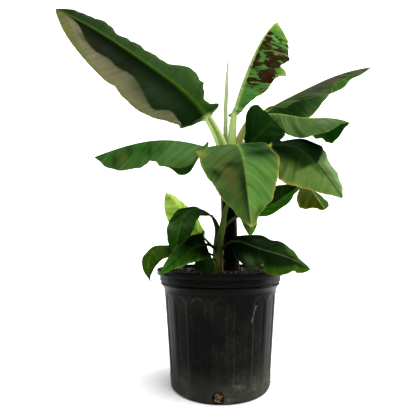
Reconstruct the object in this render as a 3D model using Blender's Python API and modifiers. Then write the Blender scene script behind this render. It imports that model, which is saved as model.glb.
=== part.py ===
"""A young banana plant in a fluted nursery pot.

The plant is one main stem with its leaves and a shorter sucker beside it with its own. Sizes are in
metres and angles in degrees. +Z is up, and the origin is the centre of the pot's flat underside.
"""
import math
from dataclasses import dataclass

import bpy
import numpy as np

# Pot
POT_HEIGHT = 0.257
BASE_RADIUS = 0.1115
BASE_ROUNDING = 0.008
NECK_RADIUS = 0.1287
NECK_HEIGHT = 0.213
RING_RADIUS = 0.136
RING_HEIGHT = 0.225
RING_HALF_DEPTH = 0.003
BAND_RADIUS = 0.138
BAND_FOOT = 0.230
LIP_RADIUS = 0.145
LIP_DEPTH = 0.013
LIP_WIDTH = 0.0105
EDGE_ROUNDING = 0.003
WALL = 0.0025
FLOOR = 0.0035
TURN_STEPS = 54
MERGE_DISTANCE = 0.00005
FLUTES = 18
FLUTE_WIDTH = 0.032
FLUTE_DEPTH = 0.0013
FLUTE_FOOT = 0.026
FLUTE_TOP = 0.207
FLUTE_ARCH = 0.012
FLUTE_CUTTER_DEPTH = 0.02
ARCH_STEPS = 6
CORNER_STEPS = 3
DRAIN_HOLES = 4
DRAIN_RADIUS = 0.012
DRAIN_HEIGHT = 0.0135
DRAIN_TURN = -92.0
DRAIN_SIDES = 12
DRAIN_CUTTER_LENGTH = 0.03

# Soil
SOIL_HEIGHT = 0.25
SOIL_FLAT_RADIUS = 0.124
SOIL_EDGE_DROP = 0.003

# Gap between neighbouring pieces
CLEARANCE = 0.0003

# Stems
STEM_SIDES = 14
MAIN_FOOT = (0.0240, 0.028)
MAIN_CROWN = (0.0215, 0.019, 0.552)
MAIN_RADII = (0.0240, 0.021, 0.0190, 0.0185, 0.0188, 0.0200, 0.0202, 0.0165)
SUCKER_FOOT = (-0.0055, -0.035)
SUCKER_CROWN = (-0.0025, -0.0355, 0.334)
SUCKER_RADII = (0.0125, 0.0115, 0.0112, 0.0112, 0.0106, 0.0080)
SPEAR_FOOT = (0.0155, 0.033, 0.5505)
SPEAR_BEND = (0.0175, 0.034, 0.69)
SPEAR_TIP = (0.0255, 0.036, 0.825)
SPEAR_RADII = (0.0058, 0.0058, 0.0048, 0.0035, 0.001)
SPEAR_SIDES = 8

# Leaves
STALK_STATIONS = 5
LAST_STALK_STATION = 0.93
STALK_NARROWING = 0.25
BLADE_STATIONS = 13
BLADE_OPENS_BY = 0.10
BASE_SHOULDER = 0.6
TIP_SHOULDER = 0.8
TIP_HALF_WIDTH = 0.0015
THICKNESS_SHARE = 0.0103
FOLD_ROOM = 2.8
RIB_STEPS = 120
ACROSS = np.array([-1.0, -0.5, 0.0, 0.5, 1.0])
STALK_TOP = np.array([0.35, 0.20, 0.10, 0.20, 0.35])
STALK_BOTTOM = np.array([0.10, 0.75, 0.95, 0.75, 0.10])
RIB_DEPTH = 0.7


@dataclass
class Leaf:
    """One leaf: a stalk that rises from its stem, and a blade along the same rib.

    rise and azimuth are the rib's heading at even steps from root to tip: rise is above the level,
    azimuth runs from +X towards +Y. roll turns the blade about the rib. fold lifts a half of the
    blade at its base and at its tip, and curl bends that half on towards its margin. Pairs are the
    left and the right half, seen along the rib from the stem. sweep carries the margins towards the
    tip by a share of the half width.
    """
    name: str
    stem: str
    root: tuple
    length: float
    stalk: float
    rise: tuple
    azimuth: tuple
    roll: tuple
    width: tuple
    fold: tuple
    curl: tuple
    base: float = 8.0
    taper: float = 3.0
    sweep: float = 0.0
    stalk_radius: float = 0.005
    colour: tuple = (0.10, 0.24, 0.06)


DEEP = (0.045, 0.13, 0.04)
BRIGHT = (0.16, 0.34, 0.07)
LEAVES = (
    Leaf("leaf_tall_left", "main_stem", root=(0.010, 0.018, 0.545), length=0.705, stalk=0.092,
         rise=(70, 42, 37, 29), azimuth=(161, 166, 170), roll=(-86, -68, -75),
         width=(0.115, 0.082), fold=((-26, -8), (-30, -20)), curl=(-4, -12),
         base=7, taper=3.5, stalk_radius=0.009),
    Leaf("leaf_blotched", "main_stem", root=(0.029, 0.011, 0.545), length=0.390, stalk=0.088,
         rise=(88, 74, 70, 64, 45), azimuth=(73, 14, 23), roll=(180, 181, 187),
         width=(0.085, 0.070), fold=((75, 82), (60, 60)), curl=(2, -10),
         base=2.2, taper=9, stalk_radius=0.0075, colour=(0.10, 0.16, 0.05)),
    Leaf("leaf_right_high", "main_stem", root=(0.032, 0.024, 0.542), length=0.485, stalk=0.140,
         rise=(68, 33, 27, 12), azimuth=(12, 12, 14), roll=(-5, -2, 7),
         width=(0.077, 0.074), fold=((-63, -49), (-40, -41)), curl=(3, 4),
         base=7, taper=1.6, stalk_radius=0.0055),
    Leaf("leaf_right_middle", "main_stem", root=(0.033, 0.015, 0.530), length=0.331, stalk=0.135,
         rise=(52, 68, 5, -20, -6, -27), azimuth=(11, -23, -9),
         roll=(-75, -20, 26, 27, 10, -12),
         width=(0.078, 0.061), fold=((-12, -56), (-63, -34)), curl=(11, -11),
         base=1.5, taper=4.5, stalk_radius=0.0042),
    Leaf("leaf_right_dark", "main_stem", root=(0.029, 0.008, 0.515), length=0.160, stalk=0.054,
         rise=(20, 38, 44, 22), azimuth=(-60, -2, 14), roll=(86, 80, 76),
         width=(0.066, 0.044), fold=((2, 0), (0, 0)), curl=(-10, -10),
         base=2, taper=3, sweep=0.35, stalk_radius=0.0045, colour=DEEP),
    Leaf("leaf_front_hanging", "main_stem", root=(0.021, 0.012, 0.520), length=0.297, stalk=0.065,
         rise=(45, -36, -73, -75), azimuth=(-73, -78, -73), roll=(3, 7, -11),
         width=(0.080, 0.098), fold=((-1, -7), (-9, 2)), curl=(9, 10),
         base=11, taper=2.1, stalk_radius=0.0055, colour=BRIGHT),
    Leaf("leaf_right_front", "main_stem", root=(0.028, 0.010, 0.500), length=0.320, stalk=0.115,
         rise=(21, 9, -48, -61), azimuth=(-53, -16, -9), roll=(32, 60, 47),
         width=(0.084, 0.091), fold=((-26, 8), (-6, 0)), curl=(-32, -18),
         base=4, taper=2.4, stalk_radius=0.005),
    Leaf("leaf_left_level", "main_stem", root=(0.014, 0.020, 0.530), length=0.340, stalk=0.048,
         rise=(24, 7, -11, -16), azimuth=(199, 179, 164), roll=(10, -5, -8),
         width=(0.088, 0.078), fold=((-51, -61), (-69, -58)), curl=(2, 9),
         base=13, taper=4.9, stalk_radius=0.0045),
    Leaf("leaf_tattered", "main_stem", root=(0.028, 0.026, 0.510), length=0.333, stalk=0.123,
         rise=(51, -8, -50, -60), azimuth=(36, 7, -20), roll=(2, -20, 33),
         width=(0.050, 0.050), fold=((-23, -3), (-10, -30)), curl=(10, -10),
         base=1.5, taper=5, stalk_radius=0.004),
    Leaf("leaf_back_right", "main_stem", root=(0.027, 0.027, 0.525), length=0.340, stalk=0.080,
         rise=(40, 24, -8, -40), azimuth=(62, 70, 74), roll=(0, 8, 5),
         width=(0.072, 0.075), fold=((12, -8), (10, -10)), curl=(-14, -12),
         base=7, taper=2.8, stalk_radius=0.005),
    Leaf("leaf_back_left", "main_stem", root=(0.017, 0.027, 0.515), length=0.300, stalk=0.070,
         rise=(36, 24, -4, -26), azimuth=(124, 130, 138), roll=(0, -6, -4),
         width=(0.060, 0.058), fold=((8, -12), (12, -8)), curl=(-12, -14),
         base=8, taper=3.0, stalk_radius=0.0045),
    Leaf("sucker_leaf_arching", "sucker_stem", root=(-0.004, -0.036, 0.325), length=0.216,
         stalk=0.052, rise=(101, 29, -70, -75), azimuth=(194, 199, 245), roll=(7, -9, -5),
         width=(0.042, 0.048), fold=((-30, -32), (-13, -2)), curl=(21, 25),
         base=7, taper=2.8, stalk_radius=0.0035, colour=DEEP),
    Leaf("sucker_leaf_young", "sucker_stem", root=(-0.007, -0.031, 0.297), length=0.207,
         stalk=0.048, rise=(39, 41, 49, 42), azimuth=(145, 148, 160), roll=(-79, -78, -91),
         width=(0.043, 0.028), fold=((22, 25), (19, 36)), curl=(0, 14),
         base=5.5, taper=3.8, stalk_radius=0.003, colour=(0.30, 0.45, 0.08)),
    Leaf("sucker_leaf_far_left", "sucker_stem", root=(-0.008, -0.036, 0.284), length=0.224,
         stalk=0.074, rise=(33, 7, 0, -54, -59), azimuth=(179, 190, 328), roll=(-2, -6, 2),
         width=(0.031, 0.021), fold=((-47, -44), (0, -6)), curl=(4, 14),
         base=9, taper=2.2, stalk_radius=0.003),
    Leaf("sucker_leaf_front_left", "sucker_stem", root=(-0.006, -0.040, 0.296), length=0.166,
         stalk=0.043, rise=(46, -11, -35, -40), azimuth=(241, 211, 208), roll=(-51, -65, -53),
         width=(0.036, 0.038), fold=((13, 5), (30, 18)), curl=(20, 60),
         base=11, taper=1.2, stalk_radius=0.0035, colour=BRIGHT),
    Leaf("sucker_leaf_low", "sucker_stem", root=(-0.006, -0.040, 0.272), length=0.078,
         stalk=0.024, rise=(43, -5, -21, -19), azimuth=(247, 229, 192), roll=(-60, -64, -56),
         width=(0.026, 0.026), fold=((0, 1), (3, -1)), curl=(-8, -6),
         base=10, taper=1.5, stalk_radius=0.0025, colour=DEEP),
    Leaf("sucker_leaf_front_right", "sucker_stem", root=(-0.001, -0.037, 0.285), length=0.230,
         stalk=0.046, rise=(76, -12, -15, -35), azimuth=(-40, -33, -6), roll=(57, 47, 40),
         width=(0.049, 0.048), fold=((0, -11), (-7, 2)), curl=(-30, -20),
         base=1.8, taper=3.1, stalk_radius=0.0035, colour=DEEP),
    Leaf("sucker_leaf_right", "sucker_stem", root=(0.000, -0.031, 0.312), length=0.271,
         stalk=0.100, rise=(88, 34, 14, 35, 30), azimuth=(47, 10, 15), roll=(38, 49, 25),
         width=(0.056, 0.049), fold=((12, 4), (8, 16)), curl=(14, 29),
         base=5, taper=3.2, stalk_radius=0.0035, colour=BRIGHT),
    Leaf("sucker_leaf_hanging", "sucker_stem", root=(-0.0045, -0.0380, 0.318), length=0.219,
         stalk=0.105, rise=(72, 70, -52, -93), azimuth=(-2, -39, -85), roll=(1, -9, 0),
         width=(0.040, 0.032), fold=((-16, -9), (-9, -8)), curl=(-17, -5),
         base=8, taper=4.2, stalk_radius=0.004),
)


def clear_scene():
    """Remove every object that the opened file holds."""
    for obj in list(bpy.data.objects):
        bpy.data.objects.remove(obj, do_unlink=True)


def new_collection(name):
    """Return a collection linked to the scene."""
    collection = bpy.data.collections.new(name)
    bpy.context.scene.collection.children.link(collection)
    return collection


def material(name, colour, roughness):
    """Return a plain Principled material."""
    mat = bpy.data.materials.new(name)
    mat.use_nodes = True
    shader = mat.node_tree.nodes["Principled BSDF"]
    shader.inputs["Base Color"].default_value = (*colour, 1.0)
    shader.inputs["Roughness"].default_value = roughness
    return mat


def mesh_object(name, mesh, collection, mat=None):
    """Put a mesh in the scene as a smooth-shaded object."""
    obj = bpy.data.objects.new(name, mesh)
    collection.objects.link(obj)
    mesh.shade_smooth()
    if mat:
        mesh.materials.append(mat)
    return obj


def hide_cutter(obj):
    """Mark an object as a cutter."""
    obj.hide_render = True
    obj.display_type = "WIRE"
    return obj


def cut(obj, cutter):
    """Cut an object by another one, or by all of a collection."""
    boolean = obj.modifiers.new("cut", "BOOLEAN")
    boolean.operation = "DIFFERENCE"
    boolean.solver = "EXACT"
    if isinstance(cutter, bpy.types.Collection):
        boolean.operand_type = "COLLECTION"
        boolean.collection = cutter
    else:
        boolean.object = cutter


def smooth_values(values, at):
    """Read a Catmull-Rom curve through evenly spaced values at places from 0 to 1."""
    values = np.asarray(values, float)
    last = len(values) - 1
    first_ghost = 2 * values[0] - values[1]
    last_ghost = 2 * values[-1] - values[-2]
    padded = np.concatenate([[first_ghost], values, [last_ghost]])
    place = np.clip(at, 0.0, 1.0) * last
    index = np.minimum(place.astype(int), last - 1)
    f = place - index
    a, b, c, d = (padded[index + k] for k in range(4))
    square = (2 * a - 5 * b + 4 * c - d) * f**2
    cube = (3 * b - a - 3 * c + d) * f**3
    return (2 * b + (c - a) * f + square + cube) / 2


def smoothstep(value):
    """Ease from 0 to 1 as value goes from 0 to 1."""
    value = np.clip(value, 0.0, 1.0)
    return value * value * (3 - 2 * value)


def rib_frame(leaf, at):
    """Return points on the rib, and the forward, left and upward directions of the blade there.

    The heading turns smoothly through rise and azimuth, and its integral is the rib.
    """
    steps = np.linspace(0.0, 1.0, RIB_STEPS + 1)

    def heading(place):
        rise = np.radians(smooth_values(leaf.rise, place))
        turn = np.radians(smooth_values(leaf.azimuth, place))
        along = np.stack([np.cos(rise) * np.cos(turn), np.cos(rise) * np.sin(turn), np.sin(rise)], -1)
        return along, np.stack([-np.sin(turn), np.cos(turn), np.zeros_like(turn)], -1)

    along, _ = heading(steps)
    run = np.cumsum((along[1:] + along[:-1]) * leaf.length / (2 * RIB_STEPS), axis=0)
    path = np.concatenate([[np.zeros(3)], run]) + np.array(leaf.root)
    points = np.stack([np.interp(at, steps, path[:, axis]) for axis in range(3)], -1)
    along, side = heading(at)
    up = np.cross(along, side)
    roll = np.radians(smooth_values(leaf.roll, at))[:, None]
    left = np.cos(roll) * side + np.sin(roll) * up
    normal = np.cos(roll) * up - np.sin(roll) * side
    return points, along, left, normal


def blade_profile(leaf, along):
    """Return the blade's half width as a share of its widest, from base (0) to tip (1)."""
    def raw(u):
        return (1 - (1 - u)**leaf.base)**BASE_SHOULDER * (1 - u**leaf.taper)**TIP_SHOULDER

    return raw(along) / raw(np.linspace(0.0, 1.0, RIB_STEPS)).max()


def leaf_sections(leaf):
    """Return the leaf's cross-sections, as an array of stations by points by XYZ.

    A section runs over the top from the right margin to the left, and back underneath. In the
    stalk it is a channel. In the blade each half is an arc: its chord to a share s of its width
    leaves the rib at fold + curl * s / 2. The two halves meet in a mitre along the rib, and fold
    less where the blade is too narrow for its thickness.
    """
    stalk_share = leaf.stalk / leaf.length
    stalk_at = np.linspace(0.0, LAST_STALK_STATION, STALK_STATIONS) * stalk_share
    blade = (1 - np.cos(np.linspace(0.0, math.pi, BLADE_STATIONS))) / 2
    at = np.concatenate([stalk_at, stalk_share + (1 - stalk_share) * blade])
    blade = np.clip((at - stalk_share) / (1 - stalk_share), 0.0, 1.0)
    opened = smoothstep(blade / BLADE_OPENS_BY)[:, None]
    points, along, left, normal = rib_frame(leaf, at)
    profile = blade_profile(leaf, blade)[:, None]

    share = np.abs(ACROSS)[None, :]
    middle = share == 0
    is_left = (ACROSS > 0)[None, :]
    sign = np.where(is_left, 1.0, -1.0)
    widest = np.where(is_left, *leaf.width)
    stalk_half = leaf.stalk_radius * (1 - STALK_NARROWING * at / stalk_share)[:, None]
    thin = THICKNESS_SHARE * (leaf.length - leaf.stalk) / 2
    narrowest = np.maximum(stalk_half * (1 - opened), max(thin, TIP_HALF_WIDTH))
    half = np.maximum(widest * profile, narrowest)
    steepest = np.degrees(np.arctan(half.min(axis=1, keepdims=True) / (FOLD_ROOM * thin)))
    fold_left, fold_right = (np.clip(smooth_values(fold, blade)[:, None], -steepest, steepest)
                             for fold in leaf.fold)
    fold = np.where(is_left, fold_left, fold_right)
    curl = np.where(is_left, *leaf.curl)
    chord = np.radians(fold + curl * share / 2) * opened
    bisector = (fold_right - fold_left) / 2
    tilt = np.radians(np.where(middle, bisector, fold + curl * share)) * opened
    reach = half * share

    out = sign[..., None] * left[:, None]
    up = normal[:, None]
    sheet = points[:, None] + (reach * np.cos(chord))[..., None] * out
    sheet = sheet + (reach * np.sin(chord))[..., None] * up
    sheet = sheet + (reach * leaf.sweep * opened)[..., None] * along[:, None]
    face = np.cos(tilt)[..., None] * up - np.sin(tilt)[..., None] * out

    mitre = 1 / np.cos(np.radians(fold_left + fold_right) / 2 * opened)
    thin = thin * np.where(middle, mitre, 1.0)
    rib = leaf.stalk_radius * RIB_DEPTH * (1 - blade)[:, None] * middle
    radius = leaf.stalk_radius
    over = radius * STALK_TOP * (1 - opened) + thin * opened
    under = np.maximum(radius * STALK_BOTTOM * (1 - opened), thin * opened) + rib * opened
    top = sheet + over[..., None] * face
    bottom = sheet - under[..., None] * face
    return np.concatenate([top, bottom[:, ::-1]], axis=1)


def loft(sections):
    """Return a closed mesh through cross-sections with equal numbers of points.

    Each side is two triangles. A blade's upper and lower face are split along matching diagonals,
    so that a twisted blade keeps its thickness.
    """
    stations, around, _ = sections.shape
    mesh = bpy.data.meshes.new("loft")
    index = np.arange(stations * around).reshape(stations, around)
    after = np.roll(index, -1, axis=1)
    a, b, c, d = index[:-1], after[:-1], after[1:], index[1:]
    rising = (np.arange(around) % (around // 2) < around // 4)[None, :, None]
    first = np.where(rising, np.stack([a, d, c], -1), np.stack([a, d, b], -1))
    second = np.where(rising, np.stack([a, c, b], -1), np.stack([b, d, c], -1))
    sides = np.concatenate([first.reshape(-1, 3), second.reshape(-1, 3)])
    caps = [index[0].tolist(), index[-1, ::-1].tolist()]
    mesh.from_pydata(sections.reshape(-1, 3).tolist(), [], sides.tolist() + caps)
    mesh.validate()
    return mesh


def tube(path, radii, sides):
    """Return a capped tube of changing radius, whose rings all lie level."""
    turn = np.linspace(0.0, -2 * math.pi, sides, endpoint=False)
    ring = np.stack([np.cos(turn), np.sin(turn), np.zeros(sides)], -1)
    return loft(path[:, None] + np.asarray(radii)[:, None, None] * ring)


def stem_path(foot, crown, radii):
    """Return points up a stem that leaves the soil upright and leans to its crown."""
    share = np.linspace(0.0, 1.0, len(radii))
    low = SOIL_HEIGHT + CLEARANCE
    lean = (share + smoothstep(share)) / 2
    return np.stack([foot[0] + (crown[0] - foot[0]) * lean,
                     foot[1] + (crown[1] - foot[1]) * lean,
                     low + (crown[2] - low) * share], -1)


def stem(name, foot, crown, radii, parts, cutters, mat):
    """Make a tapered stem, and return the slightly larger copy that trims its leaves."""
    path = stem_path(foot, crown, radii)
    mesh_object(name, tube(path, radii, STEM_SIDES), parts, mat)
    path[0, 2] -= CLEARANCE
    path[-1, 2] += CLEARANCE
    wide = [radius + CLEARANCE for radius in radii]
    return hide_cutter(mesh_object(name + "_trim", tube(path, wide, STEM_SIDES), cutters))


def turned(name, profile, parts, mat):
    """Turn a profile of radius and height pairs, listed down its outer side, about Z."""
    mesh = bpy.data.meshes.new(name)
    points = [(radius, 0.0, height) for radius, height in profile]
    mesh.from_pydata(points, [(i, i + 1) for i in range(len(points) - 1)], [])
    obj = mesh_object(name, mesh, parts, mat)
    screw = obj.modifiers.new("turn", "SCREW")
    screw.steps = TURN_STEPS
    screw.render_steps = TURN_STEPS
    screw.use_merge_vertices = True
    screw.merge_threshold = MERGE_DISTANCE
    screw.use_smooth_shade = True
    return obj


def inner_wall(height):
    """Return the radius of the pot's inner face at a height above its floor."""
    slope = (NECK_RADIUS - BASE_RADIUS) / (NECK_HEIGHT - BASE_ROUNDING)
    return BASE_RADIUS - WALL + slope * (height - BASE_ROUNDING)


def arc(radius, height, size, first, last):
    """Return points on an arc round a centre, between two angles in degrees above the level."""
    angles = np.radians(np.linspace(first, last, CORNER_STEPS + 1))
    return [(radius + size * math.cos(a), height + size * math.sin(a)) for a in angles]


def pot_profile():
    """Return the pot's section: up inside from the floor, over the lip and down the outside."""
    lip_low = POT_HEIGHT - LIP_DEPTH
    lip_inside = LIP_RADIUS - LIP_WIDTH
    size = EDGE_ROUNDING
    inside = [
        (0.0, FLOOR),
        (inner_wall(FLOOR), FLOOR),
        (inner_wall(NECK_HEIGHT), NECK_HEIGHT),
        (lip_inside, lip_low),
    ]
    lip = arc(lip_inside + size, POT_HEIGHT - size, size, 180, 90)
    lip += arc(LIP_RADIUS - size, POT_HEIGHT - size, size, 90, 0)
    lip += arc(LIP_RADIUS - size, lip_low + size, size, 0, -90)
    band = [(BAND_RADIUS, lip_low), (BAND_RADIUS, BAND_FOOT)]
    ring = arc(RING_RADIUS - RING_HALF_DEPTH, RING_HEIGHT, RING_HALF_DEPTH, 60, -60)
    neck = [(NECK_RADIUS, NECK_HEIGHT)]
    base = arc(BASE_RADIUS - BASE_ROUNDING, BASE_ROUNDING, BASE_ROUNDING, 0, -90)
    return inside + lip + band + ring + neck + base + [(0.0, 0.0)]


def flute_cutter(turn, cutters):
    """Make the arch-topped slab that sinks one flute into the wall."""
    half = FLUTE_WIDTH / 2
    arch = [math.pi * step / ARCH_STEPS for step in range(ARCH_STEPS + 1)]
    outline = [(-half, FLUTE_FOOT), (half, FLUTE_FOOT)]
    outline += [(half * math.cos(a), FLUTE_TOP - FLUTE_ARCH * (1 - math.sin(a))) for a in arch]
    lean = math.atan2(NECK_RADIUS - BASE_RADIUS, NECK_HEIGHT - BASE_ROUNDING)
    flats = np.array(outline)
    face = BASE_RADIUS - FLUTE_DEPTH + math.tan(lean) * (flats[:, 1] - BASE_ROUNDING)
    near = np.stack([face, flats[:, 0], flats[:, 1]], -1)
    far = near + np.array([FLUTE_CUTTER_DEPTH, 0.0, 0.0])
    obj = mesh_object("flute_cutter", loft(np.stack([far, near])), cutters)
    obj.rotation_euler.z = turn
    return hide_cutter(obj)


def drain_cutter(turn, cutters):
    """Make the bar that opens one drain hole in the pot's lower edge."""
    bpy.ops.mesh.primitive_cylinder_add(
        vertices=DRAIN_SIDES, radius=DRAIN_RADIUS, depth=DRAIN_CUTTER_LENGTH,
        location=(BASE_RADIUS * math.cos(turn), BASE_RADIUS * math.sin(turn), DRAIN_HEIGHT),
        rotation=(0.0, math.pi / 2, turn))
    obj = bpy.context.active_object
    for owner in list(obj.users_collection):
        owner.objects.unlink(obj)
    cutters.objects.link(obj)
    return hide_cutter(obj)


def pot(parts, mat):
    """Make the pot: a turned wall with flutes outside and drain holes round its foot."""
    cutters = new_collection("pot_cutters")
    obj = turned("pot", pot_profile(), parts, mat)
    for step in range(FLUTES):
        flute_cutter(2 * math.pi * (step + 0.5) / FLUTES, cutters)
    for step in range(DRAIN_HOLES):
        drain_cutter(math.radians(DRAIN_TURN) + 2 * math.pi * step / DRAIN_HOLES, cutters)
    cut(obj, cutters)


def soil(parts, mat):
    """Make the soil that fills the pot, level round the stems and lower at the wall."""
    low = FLOOR + CLEARANCE
    lip_inside = LIP_RADIUS - LIP_WIDTH - CLEARANCE
    profile = [
        (0.0, SOIL_HEIGHT),
        (SOIL_FLAT_RADIUS, SOIL_HEIGHT),
        (lip_inside, SOIL_HEIGHT - SOIL_EDGE_DROP),
        (lip_inside, POT_HEIGHT - LIP_DEPTH),
        (inner_wall(NECK_HEIGHT) - CLEARANCE, NECK_HEIGHT),
        (inner_wall(low) - CLEARANCE, low),
        (0.0, low),
    ]
    turned("soil", profile, parts, mat)


def spear(parts, trim):
    """Make the rolled new leaf, a spear that stands in the crown."""
    path = np.stack([smooth_values(axis, np.linspace(0.0, 1.0, len(SPEAR_RADII)))
                     for axis in np.transpose([SPEAR_FOOT, SPEAR_BEND, SPEAR_TIP])], -1)
    mat = material("rolled_leaf", (0.45, 0.55, 0.20), 0.45)
    obj = mesh_object("spear_leaf", tube(path, SPEAR_RADII, SPEAR_SIDES), parts, mat)
    cut(obj, trim)


def leaf_object(leaf, parts, trims):
    """Make one leaf, with its stalk's root trimmed to its stem."""
    mat = material(leaf.name, leaf.colour, 0.45)
    obj = mesh_object(leaf.name, loft(leaf_sections(leaf)), parts, mat)
    cut(obj, trims[leaf.stem])


def main():
    """Build the pot, the soil, the two stems and their leaves."""
    clear_scene()
    parts = new_collection("banana_plant")
    cutters = new_collection("stem_cutters")
    pot(parts, material("black_plastic", (0.02, 0.02, 0.022), 0.45))
    soil(parts, material("potting_soil", (0.035, 0.025, 0.02), 0.95))
    trims = {
        "main_stem": stem("main_stem", MAIN_FOOT, MAIN_CROWN, MAIN_RADII, parts, cutters,
                          material("purple_sheath", (0.05, 0.035, 0.045), 0.5)),
        "sucker_stem": stem("sucker_stem", SUCKER_FOOT, SUCKER_CROWN, SUCKER_RADII, parts, cutters,
                            material("olive_sheath", (0.20, 0.22, 0.07), 0.5)),
    }
    spear(parts, trims["main_stem"])
    for leaf in LEAVES:
        leaf_object(leaf, parts, trims)


main()
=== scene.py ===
"""Dresses the potted banana plant: veined leaves, sheathed stems, rough soil and a fluted pot.

Sizes are in metres and angles in degrees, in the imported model's own frame: +Z is up, and the origin
is the centre of the pot's underside.
"""
import math
from dataclasses import dataclass

import bpy
import numpy as np
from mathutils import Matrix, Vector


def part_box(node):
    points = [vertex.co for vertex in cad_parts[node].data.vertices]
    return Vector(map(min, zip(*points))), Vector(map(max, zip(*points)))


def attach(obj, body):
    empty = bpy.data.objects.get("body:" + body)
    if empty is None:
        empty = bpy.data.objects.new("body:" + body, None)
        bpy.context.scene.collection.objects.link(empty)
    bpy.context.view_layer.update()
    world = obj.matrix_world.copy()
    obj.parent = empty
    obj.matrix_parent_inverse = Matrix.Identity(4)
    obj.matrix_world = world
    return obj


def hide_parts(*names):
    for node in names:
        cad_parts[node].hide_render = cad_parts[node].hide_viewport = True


bl_info = {
    "name": "Potted Banana Plant",
    "version": (1, 0, 0),
    "blender": (4, 5, 0),
    "location": "3D View > Sidebar > Banana Plant",
    "description": "Dresses a young banana plant in a nursery pot",
    "category": "Object",
}

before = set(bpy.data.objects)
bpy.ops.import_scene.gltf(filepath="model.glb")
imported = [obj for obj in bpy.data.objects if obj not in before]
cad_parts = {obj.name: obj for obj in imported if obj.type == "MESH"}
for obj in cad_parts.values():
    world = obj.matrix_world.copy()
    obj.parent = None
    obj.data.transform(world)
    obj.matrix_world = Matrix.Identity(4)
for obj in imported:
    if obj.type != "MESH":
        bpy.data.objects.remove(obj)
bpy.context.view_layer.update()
_, POT_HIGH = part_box("pot")
_, SOIL_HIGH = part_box("soil")
BASE_RADIUS = 0.1115
TURN = 2 * math.pi

# Colours, as linear red, green and blue
DEEP = (0.020, 0.062, 0.012)
GREEN = (0.050, 0.135, 0.026)
GREY_GREEN = (0.130, 0.215, 0.095)
OLIVE = (0.115, 0.130, 0.030)
YELLOW_GREEN = (0.300, 0.400, 0.080)
PALE_GREEN = (0.480, 0.590, 0.270)
SPEAR_GREEN = (0.400, 0.470, 0.290)
SPEAR_EDGE = (0.140, 0.240, 0.060)
MAROON = (0.048, 0.024, 0.012)
DULL_MAROON = (0.056, 0.046, 0.014)
DARK_OLIVE = (0.050, 0.085, 0.018)
PALE_OLIVE = (0.120, 0.150, 0.036)
STRAW = (0.440, 0.430, 0.120)
DRY_SHADE = (0.100, 0.055, 0.025)
SCUFF_GREY = (0.420, 0.410, 0.380)
GRAIN_SHADE = (0.300, 0.270, 0.220)
BARK = (0.085, 0.048, 0.026)
BARK_SHADE = (0.018, 0.011, 0.008)
ROOT_TAN = (0.550, 0.370, 0.210)
ROOT_SHADE = (0.220, 0.120, 0.055)
THREAD_CREAM = (0.750, 0.740, 0.660)
THREAD_SHADE = (0.450, 0.420, 0.330)


# ---------------------------------------------------------------- settings

def length(name, description, default):
    """Return a length property."""
    return bpy.props.FloatProperty(name=name, description=description, default=default,
                                   unit="LENGTH", precision=4)


def tint(name, description, default):
    """Return a colour property."""
    return bpy.props.FloatVectorProperty(name=name, description=description, default=default,
                                         subtype="COLOR", size=3, min=0.0, max=1.0)


class PotSettings(bpy.types.PropertyGroup):
    """Sizes and colours of the pot."""
    height: length("Height", "Height of the lip over the floor", POT_HIGH[2])
    lip_radius: length("Lip radius", "Radius of the rolled lip", POT_HIGH[0])
    base_radius: length("Base radius", "Radius of the foot", BASE_RADIUS)
    flute_depth: length("Flute depth", "How far a flute sinks into the wall", 0.0014)
    plastic: tint("Plastic", "Colour of clean plastic", (0.0042, 0.0043, 0.0038))
    dust_and_highlight: tint("Dust", "Colour of dried dust on the plastic", (0.128, 0.127, 0.106))


class SoilSettings(bpy.types.PropertyGroup):
    """Sizes and colours of the potting soil."""
    height: length("Height", "Height of the soil over the floor", SOIL_HIGH[2])
    lump: length("Lump", "Height of the soil's lumps", 0.0016)
    dark: tint("Dark soil", "Colour of damp soil", (0.016, 0.011, 0.008))
    light: tint("Light soil", "Colour of drier soil", (0.075, 0.050, 0.032))
    grain: tint("Grains", "Colour of the pale mineral grains", (0.62, 0.59, 0.52))


class StemSettings(bpy.types.PropertyGroup):
    """Sizes and colours of the stems."""
    overlap: length("Overlap", "Step where one sheath overlaps the next", 0.0011)
    dark: tint("Dark sheath", "Colour of the main stem's sheaths", (0.0035, 0.0022, 0.0028))
    bloom: tint("Bloom", "Colour of the waxy edges of a sheath", (0.160, 0.130, 0.145))
    crown: tint("Crown", "Colour of the sheaths at the crown", (0.420, 0.490, 0.260))
    dry: tint("Dry sheath", "Colour of a dead sheath", (0.260, 0.165, 0.075))


class LeafSettings(bpy.types.PropertyGroup):
    """Sizes of the leaves' blades."""
    thickness: length("Thickness", "Thickness of a blade", 0.0008)
    vein_pitch: length("Vein pitch", "Distance between the raised veins of a large leaf", 0.0075)
    vein_height: length("Vein height", "Height of the raised veins", 0.00010)


class StageSettings(bpy.types.PropertyGroup):
    """Light and floor of the studio."""
    floor: tint("Floor", "Colour of the floor", (0.90, 0.90, 0.90))
    air: bpy.props.FloatProperty(name="Air", description="Strength of the light from all round",
                                 default=0.16, min=0.0)
    overhead: bpy.props.FloatProperty(name="Overhead", default=3.0, min=0.0,
                                      description="Strength of the soft light from above")
    side_watts: bpy.props.FloatProperty(name="Sides", description="Power of the side panels",
                                        default=14.0, min=0.0, unit="POWER")


SETTINGS = {
    "banana_pot": PotSettings,
    "banana_soil": SoilSettings,
    "banana_stems": StemSettings,
    "banana_leaves": LeafSettings,
    "banana_stage": StageSettings,
}


# ---------------------------------------------------------------- shader maths

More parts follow.
